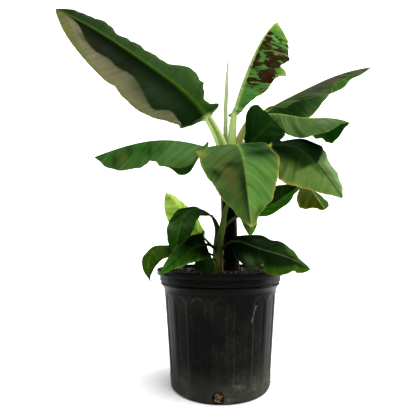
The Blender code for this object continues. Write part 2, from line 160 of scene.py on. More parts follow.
class Value:
    """A socket's value, on which Python's operators add Math nodes."""

    def __init__(self, finish, socket):
        self.finish = finish
        self.socket = socket

    def math(self, operation, first, second):
        """Add a Math node on two numbers."""
        return self.finish.node("ShaderNodeMath", {"operation": operation}, {0: first, 1: second})

    def __add__(self, other):
        return self.math("ADD", self, other)

    __radd__ = __add__

    def __sub__(self, other):
        return self.math("SUBTRACT", self, other)

    def __rsub__(self, other):
        return self.math("SUBTRACT", other, self)

    def __mul__(self, other):
        return self.math("MULTIPLY", self, other)

    __rmul__ = __mul__

    def step(self, low, high):
        """Ease from 0 to 1 as the value goes from low to high."""
        return self.finish.node("ShaderNodeMapRange", {"interpolation_type": "SMOOTHSTEP"},
                                {0: self, 1: low, 2: high})


class Finish:
    """A material in the making: its Principled shader and the nodes that feed it."""

    def __init__(self, name, **sockets):
        self.material = bpy.data.materials.new(name)
        self.material.use_nodes = True
        self.tree = self.material.node_tree
        self.shader = self.tree.nodes["Principled BSDF"]
        for socket, value in sockets.items():
            self.shader.inputs[socket.replace("_", " ")].default_value = value

    def node(self, kind, settings=None, inputs=None, output=0):
        """Add a node: its settings come first, then its sockets get values or links."""
        node = self.tree.nodes.new(kind)
        for key, value in (settings or {}).items():
            setattr(node, key, value)
        for key, value in (inputs or {}).items():
            if isinstance(value, Value):
                self.tree.links.new(value.socket, node.inputs[key])
            else:
                node.inputs[key].default_value = value
        return Value(self, node.outputs[output])

    def feed(self, socket, value):
        """Link a value to the shader."""
        self.tree.links.new(value.socket, self.shader.inputs[socket])

    def mix(self, factor, first, second, blend="MIX"):
        """Blend two colours."""
        ends = [end if isinstance(end, Value) else (*end, 1.0) for end in (first, second)]
        return self.node("ShaderNodeMix", {"data_type": "RGBA", "blend_type": blend},
                         {0: factor, 6: ends[0], 7: ends[1]}, 2)

    def place(self, stretch=(1.0, 1.0, 1.0)):
        """Return the object's own coordinates, stretched."""
        here = self.node("ShaderNodeTexCoord", output="Object")
        return self.node("ShaderNodeMapping", inputs={"Vector": here, "Scale": stretch})

    def across_blade(self, stretch):
        """Return the coordinates along and across a blade, in metres, stretched."""
        here = self.node("ShaderNodeUVMap", {"uv_map": "blade"})
        return self.node("ShaderNodeMapping", inputs={"Vector": here, "Scale": stretch})

    def noise(self, place, scale, detail=2.0, roughness=0.5, distortion=0.0):
        """Return a noise between 0 and 1."""
        return self.node("ShaderNodeTexNoise", inputs={
            "Vector": place, "Scale": scale, "Detail": detail, "Roughness": roughness,
            "Distortion": distortion})

    def attribute(self, name, output):
        """Return one of the mesh's own attributes."""
        return self.node("ShaderNodeAttribute", {"attribute_name": name}, output=output)

    def bump(self, height, distance, strength=1.0):
        """Raise the surface by a height between 0 and 1, times a distance."""
        self.feed("Normal", self.node("ShaderNodeBump", inputs={
            "Height": height, "Distance": distance, "Strength": strength}))


# ---------------------------------------------------------------- numbers on arrays

def smoothstep(value):
    """Ease from 0 to 1 as value goes from 0 to 1: three squares less two cubes."""
    value = np.clip(value, 0.0, 1.0)
    return value * value * (3 - 2 * value)


def smooth_values(values, at):
    """Read a Catmull-Rom curve through evenly spaced values at places from 0 to 1."""
    values = np.asarray(values, float)
    last = len(values) - 1
    first_ghost = 2 * values[0] - values[1]
    last_ghost = 2 * values[-1] - values[-2]
    padded = np.concatenate([[first_ghost], values, [last_ghost]])
    place = np.clip(at, 0.0, 1.0) * last
    index = np.minimum(place.astype(int), last - 1)
    f = place - index
    a, b, c, d = (padded[index + k] for k in range(4))
    square = (2 * a - 5 * b + 4 * c - d) * f**2
    cube = (3 * b - a - 3 * c + d) * f**3
    return (2 * b + (c - a) * f + square + cube) / 2


def smooth_path(knots, at):
    """Read a Catmull-Rom curve through points in space at places from 0 to 1."""
    return np.stack([smooth_values(axis, at) for axis in np.transpose(knots)], -1)


def ripples(points, size, seed, count=14):
    """Return a smooth random height between about -1 and 1 at points.

    It is the mean of sines of random direction, each with a wavelength near size, times two.
    """
    rng = np.random.default_rng(seed)
    directions = rng.normal(size=(count, points.shape[-1]))
    directions /= np.linalg.norm(directions, axis=1, keepdims=True)
    waves = TURN / (size * rng.uniform(0.6, 1.7, count))
    phases = rng.uniform(0.0, TURN, count)
    return 2 * np.sin(points @ (directions * waves[:, None]).T + phases).mean(axis=-1)


def blend(first, second, share):
    """Mix two colours, or arrays of them, by a share for each point."""
    return first + (np.asarray(second) - first) * share[..., None]


# ---------------------------------------------------------------- meshes

def grid_faces(rows, columns, closed):
    """Return the quads of a grid of points, whose columns may close round."""
    index = np.arange(rows * columns).reshape(rows, columns)
    after = np.roll(index, -1, axis=1)
    if not closed:
        index, after = index[:, :-1], after[:, :-1]
    return np.stack([index[:-1], index[1:], after[1:], after[:-1]], -1).reshape(-1, 4)


def new_piece(name, points, faces, finish, attributes=None, blade=None):
    """Put a mesh in the scene as a smooth-shaded piece that rides on the root body.

    faces is a list of arrays, each of faces with equal numbers of corners.
    """
    mesh = bpy.data.meshes.new(name)
    mesh.vertices.add(len(points))
    mesh.vertices.foreach_set("co", np.ascontiguousarray(points, np.float32).ravel())
    counts = np.concatenate([np.full(len(part), part.shape[1]) for part in faces])
    corners = np.concatenate([part.ravel() for part in faces])
    mesh.loops.add(len(corners))
    mesh.loops.foreach_set("vertex_index", corners.astype(np.int32))
    mesh.polygons.add(len(counts))
    mesh.polygons.foreach_set("loop_start", (np.cumsum(counts) - counts).astype(np.int32))
    mesh.update(calc_edges=True)
    mesh.validate()
    mesh.shade_smooth()
    for key, values in (attributes or {}).items():
        kind = "FLOAT" if values.ndim == 1 else "FLOAT_COLOR"
        layer = mesh.attributes.new(key, kind, "POINT")
        if values.ndim == 1:
            layer.data.foreach_set("value", values.astype(np.float32))
        else:
            opaque = np.concatenate([values, np.ones((len(values), 1))], axis=1)
            layer.data.foreach_set("color", opaque.astype(np.float32).ravel())
    if blade is not None:
        layer = mesh.uv_layers.new(name="blade")
        layer.data.foreach_set("uv", blade[corners].astype(np.float32).ravel())
    piece = bpy.data.objects.new(name, mesh)
    bpy.context.scene.collection.objects.link(piece)
    mesh.materials.append(finish)
    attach(piece, "root")
    return piece


def turned_grid(profile, steps):
    """Return a profile of radius and height pairs carried round Z, as rows by steps by XYZ."""
    angle = np.linspace(0.0, TURN, steps, endpoint=False)
    radius, height = np.asarray(profile, float).T
    return np.stack([radius[:, None] * np.cos(angle), radius[:, None] * np.sin(angle),
                     np.repeat(height[:, None], steps, axis=1)], -1)


def shell(grid):
    """Return points and faces of a closed shape from rings that run from one pole to the other.

    The first and the last ring have their points in one place, and become a single point each.
    """
    rows, columns, _ = grid.shape
    points = np.concatenate([grid[0, :1], grid[1:-1].reshape(-1, 3), grid[-1, :1]])
    quads = grid_faces(rows - 2, columns, True) + 1
    ring = np.arange(columns) + 1
    after = np.roll(ring, -1)
    last = len(points) - 1
    low = last - columns - 1
    first_fan = np.stack([np.zeros(columns, int), ring, after], -1)
    last_fan = np.stack([ring + low, np.full(columns, last), after + low], -1)
    return points, [quads, first_fan, last_fan]


def in_shell_order(values):
    """Return a grid of values in the order that shell gives its points."""
    return np.concatenate([values[0, :1], values[1:-1].reshape(-1, *values.shape[2:]),
                           values[-1, :1]])


# ---------------------------------------------------------------- pot

NECK_RADIUS = 0.1287
NECK_HEIGHT = 0.213
NECK_BEVEL = (0.001, 0.002)  # outward and upward
BASE_ROUNDING = 0.008
LIP_DEPTH = 0.013
LIP_WIDTH = 0.0105
EDGE_ROUNDING = 0.003
RING_HEIGHT = 0.225
RING_SIZE = 0.003
RING_RADIUS = 0.136
BAND_RADIUS = 0.138
WALL = 0.0025
FLOOR = 0.0035
FLUTES = 18
FLUTE_WIDTH = 0.034
FLUTE_FOOT = 0.022
FLUTE_RISE = 0.02
FLUTE_TOP = 0.207
FLUTE_ARCH = 0.013
FLUTE_EDGE = 0.0028
BAND_RIDGES = 5
RIDGE_HEIGHT = 0.0003
POT_STEPS = 432
WALL_ROWS = 90
# Rows of the pot's section in the bevel under its ring, round its foot and below it
NECK_AND_FOOT_ROWS = 15
UNDERSIDE = 0.001
DUST_HEIGHT = 0.075
# Over the neck, the height where the painted shade under the ring is full, and the height over which
# it fades in below that
NECK_SHADE_RISE = 0.004
NECK_SHADE_FADE = 0.02
DRAIN_HOLES = 4
DRAIN_RADIUS = 0.012
DRAIN_HEIGHT = 0.0135
DRAIN_BORE = 0.03
DRAIN_SIDES = 48
DRAIN_TURNS = [math.radians(-92.0) + TURN * step / DRAIN_HOLES for step in range(DRAIN_HOLES)]
SCUFFS = (((-56.0, 0.181), (-59.5, 0.157)), ((-56.0, 0.185), (-54.5, 0.183)),
          ((-55.0, 0.188), (-53.0, 0.1875)), ((140.0, 0.180), (147.0, 0.150)))
SCUFF_WIDTH = 0.0009


def arc(radius, height, size, first, last, steps=7):
    """Return points round a centre at one distance, between two angles above the level."""
    angle = np.radians(np.linspace(first, last, steps))
    return np.stack([radius + size * np.cos(angle), height + size * np.sin(angle)], -1)


def straight(first, last, steps):
    """Return evenly spaced points from one radius and height to another, without the last."""
    share = np.linspace(0.0, 1.0, steps, endpoint=False)[:, None]
    return np.asarray(first) * (1 - share) + np.asarray(last) * share


def pot_profile(pot):
    """Return the pot's section: up inside from the floor, over the lip and down the outside."""
    lip_low = pot.height - LIP_DEPTH
    lip_in = pot.lip_radius - LIP_WIDTH
    size = EDGE_ROUNDING
    wall_foot = pot.base_radius - WALL
    ring_in = RING_RADIUS - RING_SIZE
    band = straight((BAND_RADIUS, lip_low), (BAND_RADIUS, RING_HEIGHT + 2 * RING_SIZE), 26)
    wave = np.sin(np.linspace(0.0, BAND_RIDGES * TURN, len(band)))
    band[:, 0] += RIDGE_HEIGHT * wave
    return np.concatenate([
        straight((0.0, FLOOR), (wall_foot, FLOOR), 6),
        straight((wall_foot, FLOOR), (NECK_RADIUS - WALL, NECK_HEIGHT), 6),
        straight((NECK_RADIUS - WALL, NECK_HEIGHT), (lip_in, lip_low), 3),
        arc(lip_in + size, pot.height - size, size, 180, 90),
        arc(pot.lip_radius - size, pot.height - size, size, 90, 0),
        arc(pot.lip_radius - size, lip_low + size, size, 0, -90),
        band,
        arc(ring_in, RING_HEIGHT, RING_SIZE, 75, -75, 9),
        straight((NECK_RADIUS + NECK_BEVEL[0], NECK_HEIGHT + NECK_BEVEL[1]),
                 (NECK_RADIUS, NECK_HEIGHT), 2),
        straight((NECK_RADIUS, NECK_HEIGHT), (pot.base_radius, BASE_ROUNDING), WALL_ROWS),
        arc(pot.base_radius - BASE_ROUNDING, BASE_ROUNDING, BASE_ROUNDING, 0, -90),
        straight((pot.base_radius - 2 * BASE_ROUNDING, 0.0), (0.0, 0.0), 5),
        [(0.0, 0.0)],
    ])


def flute_share(angle, height):
    """Return how deep inside a flute a point of the wall lies, from 0 to 1.

    A flute is a slot with an arched top. Its sides and its top ease over FLUTE_EDGE, and its foot
    over FLUTE_RISE.
    """
    pitch = TURN / FLUTES
    aside = np.abs((angle % pitch) - pitch / 2) * NECK_RADIUS
    top = FLUTE_TOP - FLUTE_ARCH * (aside / (FLUTE_WIDTH / 2))**2
    return (smoothstep((FLUTE_WIDTH / 2 - aside) / FLUTE_EDGE)
            * smoothstep((top - height) / FLUTE_EDGE)
            * smoothstep((height - FLUTE_FOOT) / FLUTE_RISE))


def scuff_share(angle, height):
    """Return how near a point of the wall lies to a scuff, from 0 to 1: a bell of its distance.

    Each scuff runs straight between two places, given by their turn round the pot and height.
    """
    share = np.zeros_like(height)
    flat = np.stack([angle * NECK_RADIUS, height], -1)
    for ends in SCUFFS:
        first, last = (np.array([math.radians(turn) * NECK_RADIUS, up]) for turn, up in ends)
        along = np.clip((flat - first) @ (last - first) / ((last - first) @ (last - first)), 0, 1)
        nearest = first + along[..., None] * (last - first)
        gap = np.linalg.norm(flat - nearest, axis=-1)
        share = np.maximum(share, np.exp(-(gap / SCUFF_WIDTH)**2))
    return share


def plastic_finish(pot):
    """Black plastic, dusty in its flutes and round its foot, with fine mould lines and scuffs.

    The flutes' edges are painted lighter, a painted highlight, and from a little below the ring up
    it is painted darker, painted shade under the ring.
    """
    finish = Finish("black_plastic", Specular_IOR_Level=0.12)
    place = finish.place()
    cloud = finish.noise(place, 9.0, 5.0, 0.62)
    speck = finish.noise(place, 210.0, 2.0, 0.7)
    streak = finish.noise(finish.place((60.0, 60.0, 2.5)), 1.0, 3.0)
    foot = finish.attribute("foot", "Fac")
    flute = finish.attribute("flute", "Fac")
    edge = flute * (1 - flute) * 4
    scuff = finish.attribute("scuff", "Fac")
    smear = finish.noise(finish.place((34.0, 34.0, 95.0)), 1.0, 5.0, 0.75)
    # The plastic is painted darker from a little below the ring up: painted shade under the ring.
    wall = finish.attribute("wall", "Fac") * 0.8 + 0.2
    dust_and_highlight = wall * cloud.step(0.42, 0.72) * (speck.step(0.40, 0.70) * 0.20 + 0.08)
    grain = speck.step(0.35, 0.65) * 0.6 + 0.2
    splash = foot * smear.step(0.46, 0.68) * cloud.step(0.40, 0.62) * grain
    dust_and_highlight = dust_and_highlight + splash + foot * (cloud * 0.45 + 0.18)
    # The flutes' edges are painted lighter: a painted highlight along their sides and arched tops.
    dust_and_highlight = dust_and_highlight + wall * speck.step(0.66, 0.74) * 0.14 + edge * cloud.step(0.35, 0.70) * 0.16
    dust_and_highlight = dust_and_highlight + flute * streak.step(0.45, 0.8) * 0.05
    colour = finish.mix(dust_and_highlight, tuple(pot.plastic), tuple(pot.dust_and_highlight))
    colour = finish.mix(scuff * speck.step(0.3, 0.6) * 0.6, colour, SCUFF_GREY)
    finish.feed("Base Color", colour)
    finish.feed("Roughness", dust_and_highlight * 0.5 + streak * 0.12 + 0.27)
    finish.bump(streak * 0.5 + speck * 0.3, 0.0004, 0.35)
    return finish.material


def drain_cutter(turn):
    """Return the bar that opens one drain hole."""
    place = (BASE_RADIUS * math.cos(turn), BASE_RADIUS * math.sin(turn), DRAIN_HEIGHT)
    bpy.ops.mesh.primitive_cylinder_add(vertices=DRAIN_SIDES, radius=DRAIN_RADIUS,
                                        depth=DRAIN_BORE, rotation=(0.0, math.pi / 2, turn),
                                        location=place)
    return bpy.context.active_object


def open_drains(piece):
    """Cut the drain holes round a piece."""
    for turn in DRAIN_TURNS:
        cutter = drain_cutter(turn)
        cut = piece.modifiers.new("drain", "BOOLEAN")
        cut.object = cutter
        cut.operation = "DIFFERENCE"
        cut.solver = "MANIFOLD"
        bpy.context.view_layer.objects.active = piece
        with bpy.context.temp_override(object=piece, active_object=piece):
            bpy.ops.object.modifier_apply(modifier=cut.name)
        bpy.data.objects.remove(cutter)


class BANANA_OT_pot(bpy.types.Operator):
    """Make the nursery pot, with flutes, a rolled lip and drain holes"""
    bl_idname = "banana.pot"
    bl_label = "Pot"

    def execute(self, context):
        pot = context.scene.banana_pot
        grid = turned_grid(pot_profile(pot), POT_STEPS)
        angle = np.arctan2(grid[..., 1], grid[..., 0])
        angle[[0, -1]] = 0.0
        height = grid[..., 2]
        first_outside = len(grid) - WALL_ROWS - NECK_AND_FOOT_ROWS
        outside = (np.arange(len(grid)) >= first_outside)[:, None] & (height > UNDERSIDE)
        flute = flute_share(angle, height) * outside
        radial = np.stack([np.cos(angle), np.sin(angle), np.zeros_like(angle)], -1)
        grid = grid - (pot.flute_depth * flute)[..., None] * radial
        foot = smoothstep((DUST_HEIGHT - height) / DUST_HEIGHT) * outside
        # wall is 0 from a little below the ring up, where the plastic is painted darker as painted
        # shade under the ring.
        wall = smoothstep((NECK_HEIGHT + NECK_SHADE_RISE - height) / NECK_SHADE_FADE) * outside
        scuff = scuff_share(angle, height) * outside
        points, faces = shell(grid)
        attributes = {"flute": in_shell_order(flute), "foot": in_shell_order(foot),
                      "wall": in_shell_order(wall), "scuff": in_shell_order(scuff)}
        piece = new_piece("pot_wall", points, faces, plastic_finish(pot),
                          attributes)
        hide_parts("pot")
        open_drains(piece)
        return {"FINISHED"}


# ---------------------------------------------------------------- soil

SOIL_STEPS = 220
SOIL_ROWS = 90
SOIL_EDGE = 0.1339
SOIL_BEVEL = 0.0035
SOIL_FOOT = 0.1087
SOIL_GAP = 0.0004
SINK = 0.003
SINK_START = 0.118
SINK_WIDTH = 0.016
SCATTER_RADIUS = 0.131
GRAINS = 170
GRAIN_SIZE = 0.0021
GRAIN_SHAPE = (1.0, 0.9, 0.8)
CHIPS = 260
CHIP_SIZE = 0.0052
CHIP_SHAPE = (1.0, 0.42, 0.22)
ROOTS = 9
ROOT_KNOTS = 12
ROOT_ROWS = 40
ROOT_STEP = 0.0021
ROOT_REACH = 0.0088
ROOT_PLACE = 0.1100
ROOT_RADIUS = 0.00055


def soil_finish(soil):
    """Damp soil, lighter on its lumps."""
    finish = Finish("potting_soil", Roughness=0.92)
    place = finish.place()
    lump = finish.noise(place, 95.0, 5.0, 0.7)
    clod = finish.noise(place, 24.0, 3.0, 0.6)
    colour = finish.mix((lump * 0.6 + clod * 0.4).step(0.40, 0.68), tuple(soil.dark),
                        tuple(soil.light))
    finish.feed("Base Color", colour)
    finish.bump(lump, 0.0035)
    return finish.material


def plain_finish(name, colour, dark, scale, roughness):
    """A small thing's finish: one colour with darker mottling."""
    finish = Finish(name, Roughness=roughness)
    mottle = finish.noise(finish.place(), scale, 3.0, 0.65)
    finish.feed("Base Color", finish.mix(mottle.step(0.35, 0.7), dark, colour))
    finish.bump(mottle, 0.0005)
    return finish.material


def soil_height(radius, soil):
    """Return the soil's height: level, and sinking a little towards the wall."""
    return soil.height - SINK * smoothstep((radius - SINK_START) / SINK_WIDTH)


def scattered(count, size, stretch, seed, soil):
    """Return points and faces of small bits that lie on the soil.

    Each is an octahedron with corners moved at random, stretched, leant, turned about the upright
    and set at a random place of the disc, evenly by area.
    """
    rng = np.random.default_rng(seed)
    corners = np.array([(1, 0, 0), (0, 1, 0), (-1, 0, 0), (0, -1, 0), (0, 0, 1), (0, 0, -1)])
    sides = np.array([(0, 1, 4), (1, 2, 4), (2, 3, 4), (3, 0, 4),
                      (1, 0, 5), (2, 1, 5), (3, 2, 5), (0, 3, 5)])
    radius = SCATTER_RADIUS * np.sqrt(rng.uniform(0.0, 1.0, count))
    angle = rng.uniform(0.0, TURN, count)
    sizes = size * rng.uniform(0.55, 1.35, (count, 1, 1)) * np.array(stretch)
    local = corners * rng.uniform(0.7, 1.15, (count, 6, 1)) * sizes
    spin = rng.uniform(0.0, TURN, count)
    lean = rng.uniform(-0.5, 0.5, count)
    x = local[..., 0] * np.cos(lean)[:, None] - local[..., 2] * np.sin(lean)[:, None]
    z = local[..., 0] * np.sin(lean)[:, None] + local[..., 2] * np.cos(lean)[:, None]
    cos, sin = np.cos(spin)[:, None], np.sin(spin)[:, None]
    turned = np.stack([x * cos - local[..., 1] * sin, x * sin + local[..., 1] * cos, z], -1)
    centre = np.stack([radius * np.cos(angle), radius * np.sin(angle),
                       soil_height(radius, soil) + size * 0.25], -1)
    points = (turned + centre[:, None]).reshape(-1, 3)
    return points, (sides + 6 * np.arange(count)[:, None, None]).reshape(-1, 3)


def tube_points(path, radii, sides):
    """Return rings round a path, each square to it, as rows by sides by XYZ."""
    along = np.gradient(path, axis=0)
    along /= np.linalg.norm(along, axis=1, keepdims=True)
    guide = np.array([0.31, 0.17, 0.93])
    aside = np.cross(along, guide)
    aside /= np.linalg.norm(aside, axis=1, keepdims=True)
    up = np.cross(aside, along)
    angle = np.linspace(0.0, TURN, sides, endpoint=False)[None, :, None]
    ring = np.cos(angle) * aside[:, None] + np.sin(angle) * up[:, None]
    return path[:, None] + np.asarray(radii)[:, None, None] * ring


def capped(grid):
    """Return points and faces of a tube's rings with a point added at each end."""
    first = np.repeat(grid[:1].mean(axis=1, keepdims=True), grid.shape[1], axis=1)
    last = np.repeat(grid[-1:].mean(axis=1, keepdims=True), grid.shape[1], axis=1)
    return shell(np.concatenate([first, grid, last]))


def joined(parts):
    """Join points and faces of several shapes into one list of each."""
    points, faces, start = [], [], 0
    for some_points, some_faces in parts:
        points.append(some_points)
        faces += [part + start for part in some_faces]
        start += len(some_points)
    return np.concatenate(points), faces


def drain_roots(turn, seed):
    """Return fine roots that hang about inside a drain hole.

    Each is a smooth curve through the places of a random walk across the hole, which weaves in
    and out by a sine.
    """
    rng = np.random.default_rng(seed)
    outward = np.array([math.cos(turn), math.sin(turn), 0.0])
    side = np.array([-math.sin(turn), math.cos(turn), 0.0])
    weave = np.linspace(0.0, 3.0, ROOT_KNOTS)
    parts = []
    for _ in range(ROOTS):
        walk = np.cumsum(rng.normal(0.0, ROOT_STEP, (ROOT_KNOTS, 2)), axis=0)
        walk += rng.normal(0.0, 0.0035, 2)
        walk = np.clip(walk, -ROOT_REACH, ROOT_REACH)
        depth = ROOT_PLACE + 0.0022 * np.sin(weave + rng.uniform(0, 3))
        knots = (depth[:, None] * outward + walk[:, :1] * side
                 + (DRAIN_HEIGHT + walk[:, 1:]) * np.array([0.0, 0.0, 1.0]))
        path = smooth_path(knots, np.linspace(0.0, 1.0, ROOT_ROWS))
        parts.append(capped(tube_points(path, np.full(len(path), ROOT_RADIUS), 6)))
    return parts


class BANANA_OT_soil(bpy.types.Operator):
    """Make the soil with its grains, chips of bark and the roots in the drain holes"""
    bl_idname = "banana.soil"
    bl_label = "Soil"

    def execute(self, context):
        soil = context.scene.banana_soil
        radius = SOIL_EDGE * np.linspace(0.0, 1.0, SOIL_ROWS)**0.8
        top = np.stack([radius, soil_height(radius, soil)], -1)
        low = FLOOR + SOIL_GAP
        side = straight((SOIL_EDGE, soil.height - SOIL_BEVEL),
                        (NECK_RADIUS - WALL - SOIL_GAP, NECK_HEIGHT), 4)
        wall = straight(side[-1], (SOIL_FOOT, low), 30)[1:]
        profile = np.concatenate([[(0.0, soil.height)], top[1:], side, wall,
                                  [(SOIL_FOOT, low), (0.0, low)]])
        grid = turned_grid(profile, SOIL_STEPS)
        rough = 0.6 * ripples(grid, 0.022, 5, 18) + 0.4 * ripples(grid, 0.008, 6, 18)
        on_top = (np.arange(len(grid)) < SOIL_ROWS)[:, None] * smoothstep(
            (SOIL_EDGE - np.hypot(grid[..., 0], grid[..., 1])) / 0.01)
        grid[..., 2] += soil.lump * (rough - 0.3) * on_top
        points, faces = shell(grid)
        piece = new_piece("soil_top", points, faces, soil_finish(soil))
        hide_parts("soil")
        points, sides = scattered(GRAINS, GRAIN_SIZE, GRAIN_SHAPE, 11, soil)
        finish = plain_finish("pale_grain", tuple(soil.grain), GRAIN_SHADE, 400.0, 0.85)
        new_piece("pale_grains", points, [sides], finish)
        points, sides = scattered(CHIPS, CHIP_SIZE, CHIP_SHAPE, 12, soil)
        finish = plain_finish("bark_chip", BARK, BARK_SHADE, 160.0, 0.9)
        new_piece("bark_chips", points, [sides], finish)
        points, faces = joined([root for seed, turn in enumerate(DRAIN_TURNS)
                                for root in drain_roots(turn, seed)])
        finish = plain_finish("root", ROOT_TAN, ROOT_SHADE, 300.0, 0.8)
        new_piece("drain_roots", points, faces, finish)
        return {"FINISHED"}


# ---------------------------------------------------------------- stems

# Radii and points are at even steps from the foot to the crown or the tip
MAIN_FOOT = (0.0240, 0.028)
MAIN_CROWN = (0.0215, 0.019, 0.552)
MAIN_RADII = (0.0240, 0.021, 0.0190, 0.0185, 0.0188, 0.0200, 0.0202, 0.0165)
SUCKER_FOOT = (-0.0055, -0.035)
SUCKER_CROWN = (-0.0025, -0.0355, 0.334)
SUCKER_RADII = (0.0125, 0.0115, 0.0112, 0.0112, 0.0106, 0.0080)
SPEAR_FOOT = (0.0155, 0.033, 0.5505)
SPEAR_BEND = (0.0172, 0.034, 0.68)
SPEAR_TIP = (0.0235, 0.036, 0.797)
SPEAR_RADII = (0.0058, 0.0058, 0.0048, 0.0035, 0.001)
SPEAR_ROWS = 110
SPEAR_SIDES = 48
SPEAR_TWIST = 3.4
SPEAR_OVERLAP = 0.30
THREAD_ROWS = 30
THREAD_SIDES = 8
THREAD_LENGTH = 0.036
THREAD_SINK = 0.002
THREAD_SWAY = 0.003
THREAD_RADIUS = 0.0008
SHEATH_EDGES = ((188.0, 12.0), (352.0, -14.0), (80.0, 35.0))
STEM_ROWS = 150
STEM_SIDES = 96
STEM_SINK = 0.004
STRIP_FOOT = 0.2495
STRIP_GAP = 0.0012
STRIP_THICKNESS = 0.0006
# Each strip's middle, radius, turn, spread to each side, top, peel and seed
DRY_STRIPS = (
    (SUCKER_FOOT, 0.0120, -30.0, 24.0, 0.296, 0.0020, 1),
    (SUCKER_FOOT, 0.0122, -160.0, 24.0, 0.262, 0.0030, 2),
    (SUCKER_FOOT, 0.0120, 25.0, 30.0, 0.275, 0.0045, 3),
    (MAIN_FOOT, 0.0222, 35.0, 26.0, 0.286, 0.0055, 5),
    (MAIN_FOOT, 0.0221, 150.0, 22.0, 0.280, 0.0040, 6),
)


def stem_grid(foot, crown, radii, overlap, seed):
    """Return a stem's level rings, and how far each point lies from its sheaths' edges.

    The middle runs from the foot to the crown, half evenly and half by a smooth step. Round it
    each sheath is a saw: it rises by the overlap from its edge round to its edge again, and the
    edges lean. SHEATH_EDGES holds each edge's turn at the foot and how far it turns up to the
    crown. Fibres and swellings are ripples.
    """
    share = np.linspace(0.0, 1.0, STEM_ROWS)
    low = SOIL_HIGH[2] - STEM_SINK
    lean = (share + smoothstep(share)) / 2
    middle = np.stack([foot[0] + (crown[0] - foot[0]) * lean,
                       foot[1] + (crown[1] - foot[1]) * lean,
                       low + (crown[2] - low) * share], -1)
    angle = np.linspace(0.0, -TURN, STEM_SIDES, endpoint=False)
    radius = np.repeat(smooth_values(radii, share)[:, None], STEM_SIDES, axis=1)
    round_it = np.stack([np.cos(angle), np.sin(angle)], -1)
    shape = (STEM_ROWS, STEM_SIDES)
    place = np.concatenate([np.broadcast_to(round_it * 0.02, (*shape, 2)),
                            np.broadcast_to(share[:, None, None] * 0.03, (*shape, 1))], -1)
    edge = np.ones_like(radius)
    for turn, slope in SHEATH_EDGES:
        from_edge = (np.degrees(angle) - turn - slope * share[:, None]) % 360.0 / 360.0
        radius += overlap * (from_edge - 0.5)
        edge = np.minimum(edge, np.minimum(from_edge, 1 - from_edge) * 12)
    fibres = ripples(place, 0.0035, seed, 20)
    swellings = ripples(place, 0.02, seed + 1)
    radius += 0.00035 * fibres + 0.0006 * swellings
    grid = np.concatenate([middle[:, None, :2] + radius[..., None] * round_it,
                           np.repeat(middle[:, None, 2:], STEM_SIDES, axis=1)], -1)
    return grid, edge


def sheath_finish(name, roughness=0.45):
    """A stem's finish: painted bands under fine lengthwise fibres."""
    finish = Finish(name, Specular_IOR_Level=0.05)
    paint = finish.attribute("paint", "Color")
    fibre = finish.noise(finish.place((900.0, 900.0, 14.0)), 1.0, 3.0, 0.6)
    cloud = finish.noise(finish.place((1.0, 1.0, 0.35)), 70.0, 4.0, 0.65)
    colour = finish.mix(fibre.step(0.35, 0.75) * 0.45, paint, (0.35, 0.32, 0.22), "MULTIPLY")
    colour = finish.mix(cloud.step(0.35, 0.7) * 0.25, colour, (1.35, 1.3, 1.2), "MULTIPLY")
    finish.feed("Base Color", colour)
    finish.feed("Roughness", cloud * 0.3 + (roughness - 0.15))
    finish.bump(fibre, 0.0006, 0.6)
    return finish.material


def stem_piece(name, node, grid, paint):
    """Put a painted stem in the scene in place of a node."""
    points, faces = capped(grid)
    padded = np.concatenate([paint[:1], paint, paint[-1:]])
    attributes = {"paint": in_shell_order(padded)}
    piece = new_piece(name, points, faces, sheath_finish(name), attributes)
    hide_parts(node)


def sheath_strip(middle, radius, turn, half_turn, high, peel, seed):
    """Return a dry strip of sheath: a strip of a cylinder that peels away towards its top.

    It stands at a turn round the stem and spreads by half_turn to each side. Its distance from the
    middle grows by peel times the square of its height's share, its sides draw in by a half, and
    ripples crumple it.
    """
    up = np.linspace(0.0, 1.0, 26)[:, None]
    across = np.linspace(-1.0, 1.0, 13)[None, :]
    angle = np.radians(turn + half_turn * across * (1 - 0.5 * up**2) + 6 * np.sin(5 * up + seed))
    wall = radius + STRIP_GAP + peel * up**2 + 0 * across
    place = np.stack([angle * 0.02, wall, up * 0.05 + 0 * across], -1)
    wall = wall + 0.0011 * ripples(place, 0.012, seed)
    centre = np.asarray(middle)
    outer = np.stack([centre[0] + wall * np.cos(angle), centre[1] + wall * np.sin(angle),
                      STRIP_FOOT + (high - STRIP_FOOT) * (up + 0.08 * np.abs(across) * up)], -1)
    inward = np.stack([np.cos(angle), np.sin(angle), 0 * angle], -1) * STRIP_THICKNESS
    ring = np.concatenate([outer, (outer - inward)[:, ::-1]], axis=1)
    return capped(ring[:, ::-1])


def patches(grid, size, seed):
    """Return cloudy patches between about 0 and 1, drawn out along the height."""
    return 0.5 + 0.5 * ripples(grid * (1, 1, 0.35), size, seed)


def below(height, top, fade):
    """Return 0 above the top, and 1 from a fade below it."""
    return smoothstep((top - height) / fade)


def main_stem_paint(stems, grid, edge):
    """Return the main stem's colours: dark, with pale waxy edges, a dry foot and a green crown."""
    height = grid[..., 2]
    patch = patches(grid, 0.02, 31)
    paint = blend(np.array(stems.dark), np.array(stems.bloom),
                  smoothstep(1 - edge) * 0.75 + 0.03 * patch)
    paint = blend(paint, np.array(stems.dry), below(height, 0.28, 0.03) * 0.20 * patch)
    return blend(paint, np.array(stems.crown), smoothstep((height - 0.495) / 0.05))


def sucker_stem_paint(stems, grid, edge):
    """Return the sucker's colours: olive, straw low down, dry at the foot, with dark edges."""
    height = grid[..., 2]
    patch = patches(grid, 0.014, 32)
    paint = blend(np.array(DARK_OLIVE), np.array(PALE_OLIVE), patch)
    paint = blend(paint, STRAW, below(height, 0.305, 0.04) * 0.8)
    paint = blend(paint, np.array(stems.dry), below(height, 0.265, 0.018) * (0.15 + 0.5 * patch))
    return blend(paint, np.array(stems.dark), smoothstep(1 - edge) * 0.4)


